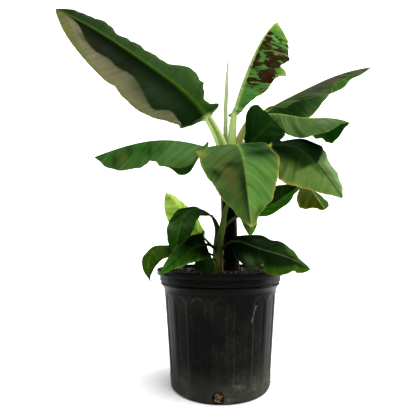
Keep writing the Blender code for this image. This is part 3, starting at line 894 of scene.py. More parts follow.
class BANANA_OT_stems(bpy.types.Operator):
    """Make the main stem and the sucker's stem, with their dry sheaths"""
    bl_idname = "banana.stems"
    bl_label = "Stems"

    def execute(self, context):
        stems = context.scene.banana_stems
        grid, edge = stem_grid(MAIN_FOOT, MAIN_CROWN, MAIN_RADII, stems.overlap, 21)
        paint = main_stem_paint(stems, grid, edge)
        stem_piece("main_sheaths", "main_stem", grid, paint)
        grid, edge = stem_grid(SUCKER_FOOT, SUCKER_CROWN, SUCKER_RADII, stems.overlap / 2, 22)
        paint = sucker_stem_paint(stems, grid, edge)
        stem_piece("sucker_sheaths", "sucker_stem", grid, paint)
        points, faces = joined([sheath_strip(*strip) for strip in DRY_STRIPS])
        finish = plain_finish("dry_sheath", tuple(stems.dry), DRY_SHADE, 90.0, 0.8)
        new_piece("dry_sheaths", points, faces, finish)
        return {"FINISHED"}


class BANANA_OT_spear(bpy.types.Operator):
    """Make the rolled new leaf with the thread at its tip"""
    bl_idname = "banana.spear"
    bl_label = "Rolled leaf"

    def execute(self, context):
        share = np.linspace(0.0, 1.0, SPEAR_ROWS)
        path = smooth_path([SPEAR_FOOT, SPEAR_BEND, SPEAR_TIP], share)
        grid = tube_points(path, smooth_values(SPEAR_RADII, share), SPEAR_SIDES)
        # The radius grows along a spiral, and steps back at the blade's free edge
        angle = np.linspace(0.0, TURN, SPEAR_SIDES, endpoint=False)
        spiral = (angle[None, :] - SPEAR_TWIST * share[:, None]) % TURN / TURN
        roll = SPEAR_OVERLAP * (spiral - 0.6)
        middle = path[:, None]
        grid = middle + (grid - middle) * (1 + roll[..., None])
        edge = smoothstep(1 - np.minimum(spiral, 1 - spiral) * 14)
        paint = blend(np.array(SPEAR_GREEN), np.array(PALE_GREEN),
                      smoothstep(share)[:, None] * 0.7 + 0 * spiral)
        paint = blend(paint, np.array(SPEAR_EDGE), edge * 0.5)
        stem_piece("rolled_blade", "spear_leaf", grid, paint)
        steps = np.linspace(0.0, 1.0, THREAD_ROWS)
        thread = path[-1] + np.stack([THREAD_SWAY * np.sin(4 * steps), 0 * steps,
                                      THREAD_LENGTH * steps - THREAD_SINK], -1)
        radii = THREAD_RADIUS * (1 - 0.7 * steps)
        points, faces = capped(tube_points(thread, radii, THREAD_SIDES))
        finish = plain_finish("thread", THREAD_CREAM, THREAD_SHADE, 200.0, 0.8)
        new_piece("tip_thread", points, faces, finish)
        return {"FINISHED"}


# ---------------------------------------------------------------- leaves

LEFT, RIGHT, LEFT_UNDER, RIGHT_UNDER = "left", "right", "left under", "right under"
STALK_ROWS = 22
LAST_STALK_ROW = 0.96
STALK_NARROWING = 0.25
BLADE_OPENS_BY = 0.10
BASE_SHOULDER = 0.6
TIP_SHOULDER = 0.8
RIB_STEPS = 160
ROW_PITCH = 0.0019
COLUMN_PITCH = 0.0030
RIB_DEPTH = 0.7
GROOVE_DEPTH = 0.35
RIDGE_DEPTH = 0.9
MARGIN_THICKNESS = 0.35
LEAST_HALF_WIDTH = 0.0007
STALK_HOLLOW = 50.0
FULL_WINGS = 0.004
LARGE_LEAF = 0.075
WAVE_STARTS = (0.9, 3.4)
PLEAT_SIZE = 0.034
PLEAT_HEIGHT = 0.0015
FRAY_SIZE = 0.011
FRAY_DEPTH = 0.008


@dataclass
class Leaf:
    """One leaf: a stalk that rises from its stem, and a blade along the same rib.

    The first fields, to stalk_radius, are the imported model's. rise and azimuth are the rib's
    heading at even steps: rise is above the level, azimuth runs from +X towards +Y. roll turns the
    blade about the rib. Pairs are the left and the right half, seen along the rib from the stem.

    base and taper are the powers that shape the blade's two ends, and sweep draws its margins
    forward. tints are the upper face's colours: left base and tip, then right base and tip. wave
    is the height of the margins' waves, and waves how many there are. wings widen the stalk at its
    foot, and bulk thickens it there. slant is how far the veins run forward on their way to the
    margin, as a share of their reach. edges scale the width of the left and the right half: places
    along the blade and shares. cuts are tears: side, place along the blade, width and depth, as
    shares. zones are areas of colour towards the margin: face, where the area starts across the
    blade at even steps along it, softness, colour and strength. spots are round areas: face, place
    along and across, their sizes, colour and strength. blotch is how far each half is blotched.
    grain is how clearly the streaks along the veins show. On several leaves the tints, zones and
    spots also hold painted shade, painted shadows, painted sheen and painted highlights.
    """
    name: str
    slot: str
    root: tuple
    length: float
    stalk: float
    rise: tuple
    azimuth: tuple
    roll: tuple
    width: tuple
    fold: tuple
    curl: tuple
    base: float
    taper: float
    stalk_radius: float
    sweep: float = 0.0
    tints: tuple = (GREEN, GREEN, GREEN, GREEN)
    stalk_tint: tuple = YELLOW_GREEN
    rib_tint: tuple = YELLOW_GREEN
    margin_tint: tuple = OLIVE
    wave: tuple = (0.003, 0.003)
    waves: float = 4.0
    wings: float = 0.0
    slant: float = 0.75
    edges: tuple = (((0, 1), (1, 1)), ((0, 1), (1, 1)))
    cuts: tuple = ()
    zones: tuple = ()
    spots: tuple = ()
    blotch: tuple = (0.0, 0.0)
    bulk: float = 0.0
    grain: float = 1.0


LEAVES = (
    Leaf("leaf_tall_left", "leaf_green", root=(0.010, 0.018, 0.545), length=0.705, stalk=0.092,
         rise=(70, 42, 37, 29), azimuth=(161, 166, 170), roll=(-86, -68, -75),
         width=(0.115, 0.082), fold=((-26, -8), (-30, -20)), curl=(-4, -12),
         base=7, taper=3.5, stalk_radius=0.009,
         # The left half's dark tints are painted shade, cast by the right half that stands over it.
         tints=((0.010, 0.034, 0.008), (0.030, 0.032, 0.022), (0.026, 0.068, 0.010),
                (0.016, 0.036, 0.006)),
         stalk_tint=PALE_GREEN, rib_tint=(0.080, 0.150, 0.018), wave=(0.002, 0.006), waves=5.0,
         wings=0.005, grain=0.4,
         edges=(((0, 1.5), (.03, 1.3), (.1, .96), (.15, .95), (.23, 1.02), (.31, 1.05), (.41, 1),
                 (.47, .93), (.53, .98), (1, 1)),
                ((0, 1.5), (.02, 1.45), (.07, .68), (.10, .58), (.14, .8), (.2, 1.2), (.27, 1.45),
                 (.31, 1.35), (.36, .9), (.42, .95), (.46, .88), (.5, .6), (.55, .72), (.59, .83),
                 (.64, .92), (.68, .72), (.74, .88), (.81, 1.15), (.88, 1.45), (.93, 1.4),
                 (1, 1))),
         # The first left zone is a painted sheen, and its wavy start is the edge of the painted shade
         # that the right half casts.
         zones=((LEFT, (1.05, .90, .67, .80, .60, .47, .53, .50, .57, .50, .22, .05, -.1), 0.03,
                 (0.245, 0.232, 0.150), 0.92),
                (LEFT, (.93, .93, .95, .96, .96, .96, .95, .93, .92, .82, .6, .3, .1), 0.2,
                 (0.160, 0.185, 0.066), 0.75),
                (RIGHT, (.8, .75, .7, .7, .75, .8, .8, .8), 0.4, (0.040, 0.100, 0.014), 0.6)),
         spots=((LEFT, 0.28, 0.48, 0.17, 0.3, (0.042, 0.068, 0.034), 0.9),
                (LEFT, 0.62, 0.36, 0.14, 0.2, (0.036, 0.044, 0.030), 0.85),
                (LEFT, 0.76, 0.50, 0.05, 0.10, (0.040, 0.085, 0.025), 0.6),
                # Painted shade along the rib, cast by the right half.
                (LEFT, 0.55, 0.05, 0.5, 0.16, (0.005, 0.014, 0.003), 0.8))),
    Leaf("leaf_blotched", "leaf_blotched", root=(0.029, 0.011, 0.545), length=0.390, stalk=0.088,
         rise=(88, 74, 70, 64, 45), azimuth=(73, 14, 23), roll=(180, 181, 187),
         width=(0.085, 0.070), fold=((75, 82), (60, 60)), curl=(2, -10),
         base=2.2, taper=9, stalk_radius=0.0075,
         tints=((0.075, 0.210, 0.030), (0.060, 0.230, 0.035), (0.075, 0.210, 0.030),
                (0.060, 0.230, 0.035)),
         stalk_tint=(0.400, 0.500, 0.215), rib_tint=(0.310, 0.400, 0.160),
         margin_tint=(0.30, 0.33, 0.06), wave=(0.004, 0.004), waves=3.5, blotch=(1.0, 1.0),
         slant=0.35, wings=0.004,
         edges=(((0, 1.3), (.02, 1.15), (.07, .62), (.12, .6), (.16, .65), (.22, .75), (.28, .9),
                 (.33, .95), (.43, .95), (.48, 1.03), (.52, 1.22), (.56, 1.15), (.6, .94),
                 (.63, .95), (.71, 1.05), (.78, .98), (.85, 1), (.93, 1.2), (.97, 1.7), (1, 1.9)),
                ((0, 2.2), (.04, 2.0), (.1, .9), (.2, 1), (1, 1))),
         cuts=((LEFT, 0.61, 0.02, 0.08), (LEFT, 0.74, 0.02, 0.05)),
         spots=((LEFT_UNDER, 1.0, 0.2, 0.07, 0.8, YELLOW_GREEN, 0.9),
                (LEFT_UNDER, 0.70, 0.62, 0.02, 0.06, (0.45, 0.24, 0.06), 0.9),
                (LEFT_UNDER, 0.50, 1.0, 0.12, 0.12, (0.40, 0.36, 0.12), 0.8))),
    Leaf("leaf_right_high", "leaf_green", root=(0.032, 0.024, 0.542), length=0.485, stalk=0.140,
         rise=(68, 33, 27, 12), azimuth=(12, 12, 14), roll=(-5, -2, 7),
         width=(0.077, 0.074), fold=((-63, -49), (-40, -41)), curl=(3, 4),
         base=7, taper=1.6, stalk_radius=0.0055,
         # The right half's grey-brown tip tint is a maroon tinge with a painted sheen over it.
         tints=(GREEN, GREEN, (0.046, 0.080, 0.026), (0.060, 0.054, 0.036)),
         margin_tint=(0.26, 0.27, 0.14), wave=(0.004, 0.003), waves=5.0,
         edges=(((0, 1), (.41, 1.12), (.5, .98), (.6, .85), (.7, .95), (.78, 1), (.85, .85), (1, 1)),
                ((0, .4), (.04, .62), (.08, .8), (.13, .68), (.19, .5), (.24, .5), (.31, .9),
                 (.37, 1.2), (.43, 1.1), (.51, .83), (.62, .65), (.71, .6), (.78, .75), (.89, 1),
                 (1, 1))),
         cuts=((LEFT, 0.52, 0.05, 0.10), (LEFT, 0.80, 0.02, 0.1)),
         # The dark spot on the left half's lower face is painted shade; the two grey-brown spots on
         # the right half are a maroon tinge with a painted sheen over it.
         spots=((LEFT_UNDER, 0.25, 0.5, 0.3, 0.8, (0.018, 0.045, 0.008), 0.95),
                (LEFT_UNDER, 0.80, 0.7, 0.15, 0.6, (0.045, 0.105, 0.015), 0.9),
                (RIGHT, 0.45, 0.75, 0.05, 0.25, (0.040, 0.100, 0.018), 0.85),
                (RIGHT, 0.42, 0.45, 0.05, 0.15, (0.035, 0.030, 0.022), 0.8),
                (RIGHT, 0.60, 0.35, 0.10, 0.2, (0.060, 0.052, 0.040), 0.8),
                (RIGHT, 0.12, 0.4, 0.10, 0.5, (0.060, 0.130, 0.025), 0.8))),
    Leaf("leaf_right_middle", "leaf_green", root=(0.033, 0.015, 0.530), length=0.331, stalk=0.135,
         rise=(52, 68, 5, -20, -6, -27), azimuth=(11, -23, -9),
         roll=(-75, -20, 26, 27, 10, -12),
         width=(0.078, 0.061), fold=((-12, -56), (-63, -34)), curl=(11, -11),
         base=1.5, taper=4.5, stalk_radius=0.0042,
         # The right half's pale tints are a painted sheen on its glossy upper face.
         tints=((0.012, 0.045, 0.006), GREEN, (0.165, 0.265, 0.105), (0.058, 0.115, 0.032)),
         stalk_tint=(0.40, 0.42, 0.16), margin_tint=(0.26, 0.34, 0.15), wave=(0.002, 0.002),
         wings=0.013,
         edges=(((0, 1), (.6, 1), (.7, .85), (.8, 1), (.92, 1.27), (.96, 1.5), (.98, .8), (1, 1.5)),
                ((0, 1.5), (.05, 1.2), (.15, .95), (.33, .93), (.5, .93), (.67, .9), (.8, 1.1),
                 (1, 1))),
         spots=((LEFT_UNDER, 0.85, 0.6, 0.4, 1.5, (0.016, 0.075, 0.006), 1.0),
                # A painted sheen on the right half.
                (RIGHT, 0.70, 0.25, 0.10, 0.2, (0.20, 0.20, 0.14), 0.5))),
    Leaf("leaf_right_dark", "leaf_deep_green", root=(0.029, 0.008, 0.515), length=0.160,
         stalk=0.054, rise=(20, 38, 44, 22), azimuth=(-60, -2, 14), roll=(86, 80, 76),
         width=(0.066, 0.044), fold=((2, 0), (0, 0)), curl=(-10, -10),
         base=2, taper=3, sweep=0.35, stalk_radius=0.0045,
         tints=((0.007, 0.030, 0.004), DEEP, (0.007, 0.030, 0.004), DEEP),
         rib_tint=(0.030, 0.080, 0.014), wings=0.004, wave=(0.001, 0.001),
         edges=(((0, 1), (.66, 1), (.73, .66), (.78, .45), (.84, .08), (1, .05)),
                ((0, 1), (.72, 1.02), (.78, 1.0), (.84, .5), (.88, .08), (1, .05))),
         spots=((LEFT, 1.0, 0.0, 0.08, 2.0, (0.090, 0.165, 0.055), 1.0),
                (RIGHT, 1.0, 0.0, 0.08, 2.0, (0.090, 0.165, 0.055), 1.0))),
    Leaf("leaf_front_hanging", "leaf_light_green", root=(0.021, 0.012, 0.520), length=0.297,
         stalk=0.065, rise=(45, -36, -73, -75), azimuth=(-73, -78, -73), roll=(3, 7, -11),
         width=(0.080, 0.098), fold=((-1, -7), (-9, 2)), curl=(9, 10),
         base=11, taper=2.1, stalk_radius=0.0055,
         tints=((0.096, 0.186, 0.060), (0.128, 0.240, 0.064), (0.072, 0.128, 0.045),
                (0.050, 0.088, 0.020)),
         rib_tint=(0.160, 0.260, 0.080), margin_tint=(0.24, 0.22, 0.06), wave=(0.002, 0.003),
         slant=1.15, grain=0.7,
         edges=(((0, 1), (.2, .8), (.26, .8), (.36, .98), (.56, 1), (.68, 1.05), (.75, 1.12),
                 (.81, .95), (.9, .77), (1, 1.1)),
                ((0, 1.1), (.12, 1.08), (.29, .95), (.48, 1.02), (.59, 1), (.71, 1.05),
                 (.86, 1.08), (.93, 1.3), (1, 1.2))),
         zones=((LEFT, (.99, .96, .94, .95, .97), 0.06, (0.300, 0.260, 0.070), 0.75),
                (RIGHT, (.95, .95, .97, .97, .97), 0.06, (0.190, 0.210, 0.045), 0.65)),
         spots=((RIGHT, 0.52, 0.42, 0.20, 0.22, (0.095, 0.095, 0.034), 0.8),
                (RIGHT, 0.50, 0.72, 0.05, 0.12, (0.018, 0.036, 0.008), 0.85),
                (RIGHT, 0.66, 0.08, 0.28, 0.15, (0.012, 0.030, 0.010), 0.9),
                (LEFT, 0.27, 0.65, 0.07, 0.7, (0.010, 0.028, 0.007), 0.92),
                (RIGHT, 0.91, 0.07, 0.03, 0.14, (0.022, 0.050, 0.008), 0.8),
                (RIGHT, 1.0, 0.2, 0.025, 1.0, (0.50, 0.34, 0.20), 0.9),
                (LEFT, 1.0, 0.2, 0.025, 1.0, (0.50, 0.34, 0.20), 0.9),
                (RIGHT, 0.40, 0.30, 0.04, 0.20, (0.016, 0.034, 0.008), 0.8),
                (RIGHT, 0.22, 0.95, 0.08, 0.2, (0.20, 0.24, 0.05), 0.7),
                (LEFT, 0.12, 0.6, 0.12, 0.7, (0.014, 0.040, 0.009), 0.9),
                (LEFT, 0.86, 0.75, 0.05, 0.25, (0.030, 0.075, 0.012), 0.85),
                (LEFT, 0.95, 0.2, 0.08, 0.8, (0.14, 0.13, 0.035), 0.7))),
    Leaf("leaf_right_front", "leaf_green", root=(0.028, 0.010, 0.500), length=0.320, stalk=0.115,
         rise=(21, 9, -48, -61), azimuth=(-53, -16, -9), roll=(32, 60, 47),
         width=(0.084, 0.091), fold=((-26, 8), (-6, 0)), curl=(-32, -18),
         base=4, taper=2.4, stalk_radius=0.005,
         # The near-black tints are painted shadow, cast by the leaf above.
         tints=((0.003, 0.016, 0.002), (0.004, 0.018, 0.003), (0.003, 0.014, 0.002),
                (0.024, 0.065, 0.010)),
         rib_tint=(0.022, 0.042, 0.010), margin_tint=(0.24, 0.26, 0.07), wave=(0.002, 0.003),
         grain=0.6,
         edges=(((0, 1), (.3, 1.1), (.42, 1.2), (.47, 1), (.58, .8), (.71, .9), (.81, .8),
                 (.92, 1.12), (1, 1.2)),
                ((0, 1), (.42, .95), (.59, 1), (.69, .98), (.78, .9), (.88, .85), (.95, .73),
                 (1, .7))),
         # The first three zones are the lighter green outside the painted shadow, and the last is the
         # yellow margin.
         zones=((RIGHT, (.50, .52, .55, .54, .52, .50, .47, -.1, -.3, -.3, -.3, -.3, -.3), 0.5,
                 (0.135, 0.205, 0.064), 0.95),
                (LEFT, (1.4, 1.4, 1.4, 1.4, 1.4, 1.2, .6, -.1, -.3, -.3, -.3, -.3, -.3), 0.30,
                 (0.110, 0.165, 0.060), 0.92),
                (LEFT, (1.4, 1.4, 1.4, 1.4, 1.4, 1.4, 1.4, .45, .35, .40, .45, .5, .6), 0.10,
                 (0.170, 0.260, 0.120), 0.8),
                (RIGHT, (1.2, 1.1, .95, .93, .94, .95), 0.06, (0.300, 0.250, 0.060), 0.8)),
         spots=((RIGHT, 0.60, 0.10, 0.10, 0.10, (0.030, 0.070, 0.010), 0.7),
                (RIGHT, 1.0, 0.5, 0.02, 2.0, (0.230, 0.130, 0.050), 0.95),
                (LEFT, 1.0, 0.5, 0.02, 2.0, (0.230, 0.130, 0.050), 0.95))),
    Leaf("leaf_left_level", "leaf_green", root=(0.014, 0.020, 0.530), length=0.340, stalk=0.048,
         rise=(24, 7, -11, -16), azimuth=(199, 179, 164), roll=(10, -5, -8),
         width=(0.088, 0.078), fold=((-51, -61), (-69, -58)), curl=(2, 9),
         base=13, taper=4.9, stalk_radius=0.0045,
         tints=((0.095, 0.175, 0.062), (0.048, 0.115, 0.024), GREEN, GREEN),
         rib_tint=(0.040, 0.110, 0.020), wave=(0.003, 0.003), waves=3.0,
         edges=(((0, 1), (.1, 1.2), (.29, 1.12), (.37, 1.02), (.43, .8), (.48, .73), (.51, .83),
                 (.57, .95), (.65, 1), (.75, 1.05), (.84, .95), (.89, .95), (.96, .65), (1, .55)),
                ((0, 1.1), (.2, 1.15), (.35, .9), (.42, .5), (.5, .45), (.6, .75), (.7, .9),
                 (1, .8))),
         # The tan spot is a painted sheen, and the darker spots on the left half and on the right
         # half's lower face are painted shade.
         spots=((LEFT, 0.73, 0.55, 0.045, 0.35, (0.120, 0.120, 0.045), 0.6),
                (LEFT, 0.80, 0.55, 0.03, 0.35, (0.020, 0.045, 0.010), 0.7),
                (LEFT, 0.56, 0.30, 0.05, 0.30, (0.030, 0.110, 0.022), 0.8),
                (LEFT, 0.48, 0.55, 0.03, 0.3, (0.012, 0.034, 0.006), 0.7),
                (LEFT, 0.66, 0.25, 0.04, 0.3, (0.016, 0.045, 0.008), 0.7),
                (LEFT, 0.16, 0.95, 0.12, 0.25, (0.045, 0.090, 0.018), 0.8),
                (LEFT, 0.42, 0.30, 0.07, 0.4, (0.026, 0.080, 0.014), 0.7),
                (RIGHT_UNDER, 0.20, 0.8, 0.3, 1.0, (0.014, 0.045, 0.008), 0.9))),
    Leaf("leaf_tattered", "leaf_green", root=(0.028, 0.026, 0.510), length=0.333, stalk=0.123,
         rise=(51, -8, -50, -60), azimuth=(36, 7, -20), roll=(2, -20, 33),
         width=(0.060, 0.062), fold=((-23, -3), (-10, -30)), curl=(10, -10),
         base=1.5, taper=5, stalk_radius=0.004,
         tints=((0.030, 0.060, 0.010), (0.045, 0.085, 0.025), (0.024, 0.040, 0.005),
                (0.060, 0.075, 0.010)),
         margin_tint=(0.30, 0.20, 0.045), wave=(0.004, 0.004),
         edges=(((0, 1), (.7, 1), (.85, 1.1), (.93, 1.4), (1, 1.8)),
                ((0, 1), (.6, 1.1), (.7, 1.25), (.78, 1.2), (.83, 1.28), (.88, 1.22), (.915, .8),
                 (.95, .7), (.98, .9), (1, 1.3))),
         cuts=((LEFT, 0.45, 0.03, 0.5), (LEFT, 0.66, 0.03, 0.35), (RIGHT, 0.5, 0.03, 0.35)),
         zones=((RIGHT, (.95, .95, .93, .95, .93), 0.15, (0.26, 0.19, 0.05), 0.8),
                (LEFT_UNDER, (.95, .9, .9, .9, .85), 0.15, (0.26, 0.19, 0.05), 0.8))),
    Leaf("leaf_back_right", "leaf_green", root=(0.027, 0.027, 0.525), length=0.340, stalk=0.080,
         rise=(40, 24, -8, -40), azimuth=(62, 70, 74), roll=(0, 8, 5),
         width=(0.072, 0.075), fold=((12, -8), (10, -10)), curl=(-14, -12),
         base=7, taper=2.8, stalk_radius=0.005, wave=(0.004, 0.004),
         cuts=((LEFT, 0.55, 0.03, 0.25), (RIGHT, 0.35, 0.03, 0.2))),
    Leaf("leaf_back_left", "leaf_green", root=(0.017, 0.027, 0.515), length=0.300, stalk=0.070,
         rise=(36, 24, -4, -26), azimuth=(124, 130, 138), roll=(0, -6, -4),
         width=(0.060, 0.058), fold=((8, -12), (12, -8)), curl=(-12, -14),
         base=8, taper=3.0, stalk_radius=0.0045, wave=(0.004, 0.004),
         cuts=((RIGHT, 0.62, 0.03, 0.2),)),
    Leaf("sucker_leaf_arching", "leaf_deep_green", root=(-0.004, -0.036, 0.325), length=0.216,
         stalk=0.052, rise=(101, 29, -70, -75), azimuth=(194, 199, 245), roll=(7, -9, -5),
         width=(0.042, 0.048), fold=((-30, -32), (-13, -2)), curl=(21, 25),
         base=7, taper=2.8, stalk_radius=0.0035,
         tints=((0.045, 0.085, 0.036), (0.016, 0.060, 0.006), (0.020, 0.048, 0.014),
                (0.028, 0.085, 0.010)),
         rib_tint=(0.075, 0.135, 0.035), margin_tint=GREEN, wave=(0.001, 0.002), bulk=3.0,
         stalk_tint=(0.030, 0.055, 0.012),
         # Both pale spots are painted highlights.
         spots=((RIGHT, 0.63, 0.80, 0.06, 0.50, (0.100, 0.160, 0.080), 0.85),
                (LEFT, 0.60, 0.30, 0.05, 0.50, (0.075, 0.120, 0.045), 0.7))),
    Leaf("sucker_leaf_young", "leaf_young_yellow", root=(-0.007, -0.031, 0.297), length=0.207,
         stalk=0.048, rise=(39, 41, 49, 42), azimuth=(145, 148, 160), roll=(-79, -78, -91),
         width=(0.043, 0.028), fold=((22, 25), (19, 36)), curl=(0, 14),
         base=5.5, taper=3.8, stalk_radius=0.003,
         # The base tints are lighter than the tip's: painted light where the arching leaf shades the
         # base.
         tints=((0.520, 0.800, 0.160), (0.480, 0.620, 0.190), (0.520, 0.800, 0.160),
                (0.480, 0.620, 0.190)),
         stalk_tint=(0.090, 0.140, 0.030), rib_tint=(0.420, 0.640, 0.150), wave=(0.001, 0.001)),
    Leaf("sucker_leaf_far_left", "leaf_green", root=(-0.008, -0.036, 0.284), length=0.224,
         stalk=0.074, rise=(33, 7, 0, -54, -59), azimuth=(179, 190, 328), roll=(-2, -6, 2),
         width=(0.031, 0.021), fold=((-47, -44), (0, -6)), curl=(4, 14),
         base=9, taper=2.2, stalk_radius=0.003,
         tints=((0.075, 0.130, 0.020), (0.045, 0.090, 0.010), (0.060, 0.120, 0.012),
                (0.040, 0.080, 0.008)),
         stalk_tint=DEEP, rib_tint=(0.080, 0.150, 0.030), margin_tint=GREEN, wave=(0.001, 0.001)),
    Leaf("sucker_leaf_front_left", "leaf_light_green", root=(-0.006, -0.040, 0.296), length=0.166,
         stalk=0.043, rise=(46, -11, -35, -40), azimuth=(241, 211, 208), roll=(-51, -65, -53),
         width=(0.036, 0.038), fold=((13, 5), (30, 18)), curl=(20, 60),
         base=11, taper=1.2, stalk_radius=0.0035,
         # The near-black tints are painted shadow.
         tints=((0.0015, 0.006, 0.001), (0.075, 0.190, 0.024), (0.0012, 0.004, 0.001),
                (0.080, 0.190, 0.034)),
         stalk_tint=(0.012, 0.024, 0.008), rib_tint=(0.030, 0.070, 0.012), wave=(0.001, 0.001),
         edges=(((0, 1.4), (.1, 1.15), (.25, 1), (1, 1)),
                ((0, 1.2), (.07, 1.05), (.14, .9), (.24, .9), (.35, 1), (1, 1))),
         # The two near-black spots are painted shadow too.
         spots=((RIGHT, 0.30, 0.6, 0.25, 0.8, (0.0012, 0.004, 0.001), 0.9),
                (LEFT, 0.10, 0.2, 0.18, 0.6, (0.0012, 0.004, 0.001), 0.9),
                (LEFT, 0.60, 0.90, 0.25, 0.12, (0.160, 0.300, 0.080), 0.6))),
    Leaf("sucker_leaf_low", "leaf_deep_green", root=(-0.006, -0.040, 0.272), length=0.078,
         stalk=0.024, rise=(43, -5, -21, -19), azimuth=(247, 229, 192), roll=(-60, -64, -56),
         width=(0.026, 0.026), fold=((0, 1), (3, -1)), curl=(-8, -6),
         base=10, taper=1.5, stalk_radius=0.0025, tints=(DEEP, DEEP, DEEP, DEEP),
         stalk_tint=DEEP, rib_tint=(0.020, 0.045, 0.012), margin_tint=DEEP, wave=(0.0005, 0.0005),
         edges=(((0, 1.5), (.5, 1.3), (1, 1)), ((0, 1.5), (.5, 1.3), (1, 1)))),
    Leaf("sucker_leaf_front_right", "leaf_deep_green", root=(-0.001, -0.037, 0.285),
         length=0.230, stalk=0.046, rise=(76, -12, -15, -35), azimuth=(-40, -33, -6),
         roll=(57, 47, 40), width=(0.049, 0.048), fold=((0, -11), (-7, 2)), curl=(-30, -20),
         base=1.8, taper=3.1, stalk_radius=0.0035,
         # The dark tints are painted shade, with the lighter zones beyond it.
         tints=((0.006, 0.016, 0.006), (0.026, 0.052, 0.017), (0.004, 0.011, 0.003),
                (0.014, 0.034, 0.007)),
         stalk_tint=(0.040, 0.062, 0.018), rib_tint=(0.085, 0.135, 0.050),
         margin_tint=(0.090, 0.160, 0.040), wave=(0.002, 0.004),
         zones=((RIGHT, (1.4, 1.4, 1.4, 1.2, .9, .7, .6, .4, .3), 0.4, (0.055, 0.110, 0.014), 0.85),
                (LEFT, (1.4, 1.4, 1.4, 1.4, 1.2, .8, .3, .3, .3), 0.2, (0.055, 0.105, 0.020), 0.8)),
         edges=(((0, 1), (.55, 1), (.66, 1.1), (.76, .95), (.86, .8), (1, 1)),
                ((0, 1.3), (.15, 1.15), (.3, 1.07), (.4, 1.1), (.47, 1), (.52, .78), (.57, .95),
                 (.68, 1.1), (.8, 1), (.86, .82), (.9, 1.1), (1, 1.4))),
         spots=((RIGHT, 0.38, 0.70, 0.10, 0.25, (0.100, 0.150, 0.070), 0.85),
                (LEFT, 0.32, 0.45, 0.12, 0.25, (0.045, 0.075, 0.045), 0.7)),
         cuts=((RIGHT, 0.52, 0.02, 0.15), (LEFT, 0.72, 0.02, 0.06))),
    Leaf("sucker_leaf_right", "leaf_light_green", root=(0.000, -0.031, 0.312), length=0.271,
         stalk=0.100, rise=(88, 34, 14, 35, 30), azimuth=(47, 10, 15), roll=(38, 49, 25),
         width=(0.056, 0.049), fold=((12, 4), (8, 16)), curl=(14, 29),
         base=5, taper=3.2, stalk_radius=0.0035,
         tints=((0.040, 0.100, 0.014), (0.045, 0.105, 0.016), (0.055, 0.190, 0.015),
                (0.130, 0.380, 0.040)),
         rib_tint=(0.260, 0.400, 0.160), wave=(0.001, 0.001), bulk=1.8,
         stalk_tint=(0.075, 0.110, 0.030)),
    Leaf("sucker_leaf_hanging", "leaf_green", root=(-0.0045, -0.0380, 0.318), length=0.219,
         stalk=0.105, rise=(72, 70, -52, -93), azimuth=(-2, -39, -85), roll=(1, -9, 0),
         width=(0.040, 0.032), fold=((-16, -9), (-9, -8)), curl=(-17, -5),
         base=8, taper=4.2, stalk_radius=0.004,
         tints=((0.130, 0.260, 0.050), (0.085, 0.180, 0.030), (0.050, 0.120, 0.020),
                (0.060, 0.130, 0.022)),
         rib_tint=(0.110, 0.200, 0.040), wave=(0.001, 0.001), bulk=3.0, grain=1.6,
         edges=(((0, 1), (.35, .8), (1, .62)), ((0, 1), (.35, .8), (1, .62))),
         stalk_tint=(0.130, 0.180, 0.055)),
)


def heading(leaf, at):
    """Return which way the rib runs at places along it, and which way is level to its left."""
    rise = np.radians(smooth_values(leaf.rise, at))
    turn = np.radians(smooth_values(leaf.azimuth, at))
    along = np.stack([np.cos(rise) * np.cos(turn), np.cos(rise) * np.sin(turn), np.sin(rise)], -1)
    return along, np.stack([-np.sin(turn), np.cos(turn), np.zeros_like(turn)], -1)


def rib_frame(leaf, at):
    """Return points on the rib, and the forward, left and upward directions of the blade there.

    The heading turns smoothly through rise and azimuth, and its integral is the rib.
    """
    steps = np.linspace(0.0, 1.0, RIB_STEPS + 1)
    along, _ = heading(leaf, steps)
    run = np.cumsum((along[1:] + along[:-1]) * leaf.length / (2 * RIB_STEPS), axis=0)
    path = np.concatenate([[np.zeros(3)], run]) + np.array(leaf.root)
    points = np.stack([np.interp(at, steps, path[:, axis]) for axis in range(3)], -1)
    along, side = heading(leaf, at)
    up = np.cross(along, side)
    roll = np.radians(smooth_values(leaf.roll, at))[:, None]
    left = np.cos(roll) * side + np.sin(roll) * up
    normal = np.cos(roll) * up - np.sin(roll) * side
    return points, along, left, normal


def blade_profile(leaf, along):
    """Return the blade's half width as a share of its widest, from base (0) to tip (1).

    Its shoulders are powers of the distance from the base and from the tip.
    """
    def outline(place):
        from_base = (1 - (1 - place)**leaf.base)**BASE_SHOULDER
        from_tip = (1 - place**leaf.taper)**TIP_SHOULDER
        return from_base * from_tip

    return outline(along) / outline(np.linspace(0.0, 1.0, RIB_STEPS)).max()


def eased_values(knots, at):
    """Read a curve through pairs of place and value, each eased to the next by a smooth step."""
    places, values = np.transpose(knots)
    index = np.clip(np.searchsorted(places, at) - 1, 0, len(places) - 2)
    share = smoothstep((at - places[index]) / (places[index + 1] - places[index]))
    return values[index] + (values[index + 1] - values[index]) * share


def torn_share(leaf, blade, sign, seed):
    """Return the half width that lobes, tears and a ragged margin leave, as a share."""
    kept = np.where(sign > 0, *(eased_values(knots, blade) for knots in leaf.edges))
    for side, place, width, depth in leaf.cuts:
        gap = np.clip(1 - np.abs(blade - place) / width, 0.0, 1.0)**0.8
        kept = np.where((sign > 0) == (side == LEFT), kept * (1 - depth * gap), kept)
    places = np.stack([blade * leaf.length, sign * 0.05], -1)
    return kept * (1 + FRAY_DEPTH * ripples(places, FRAY_SIZE, seed, 8) - FRAY_DEPTH)


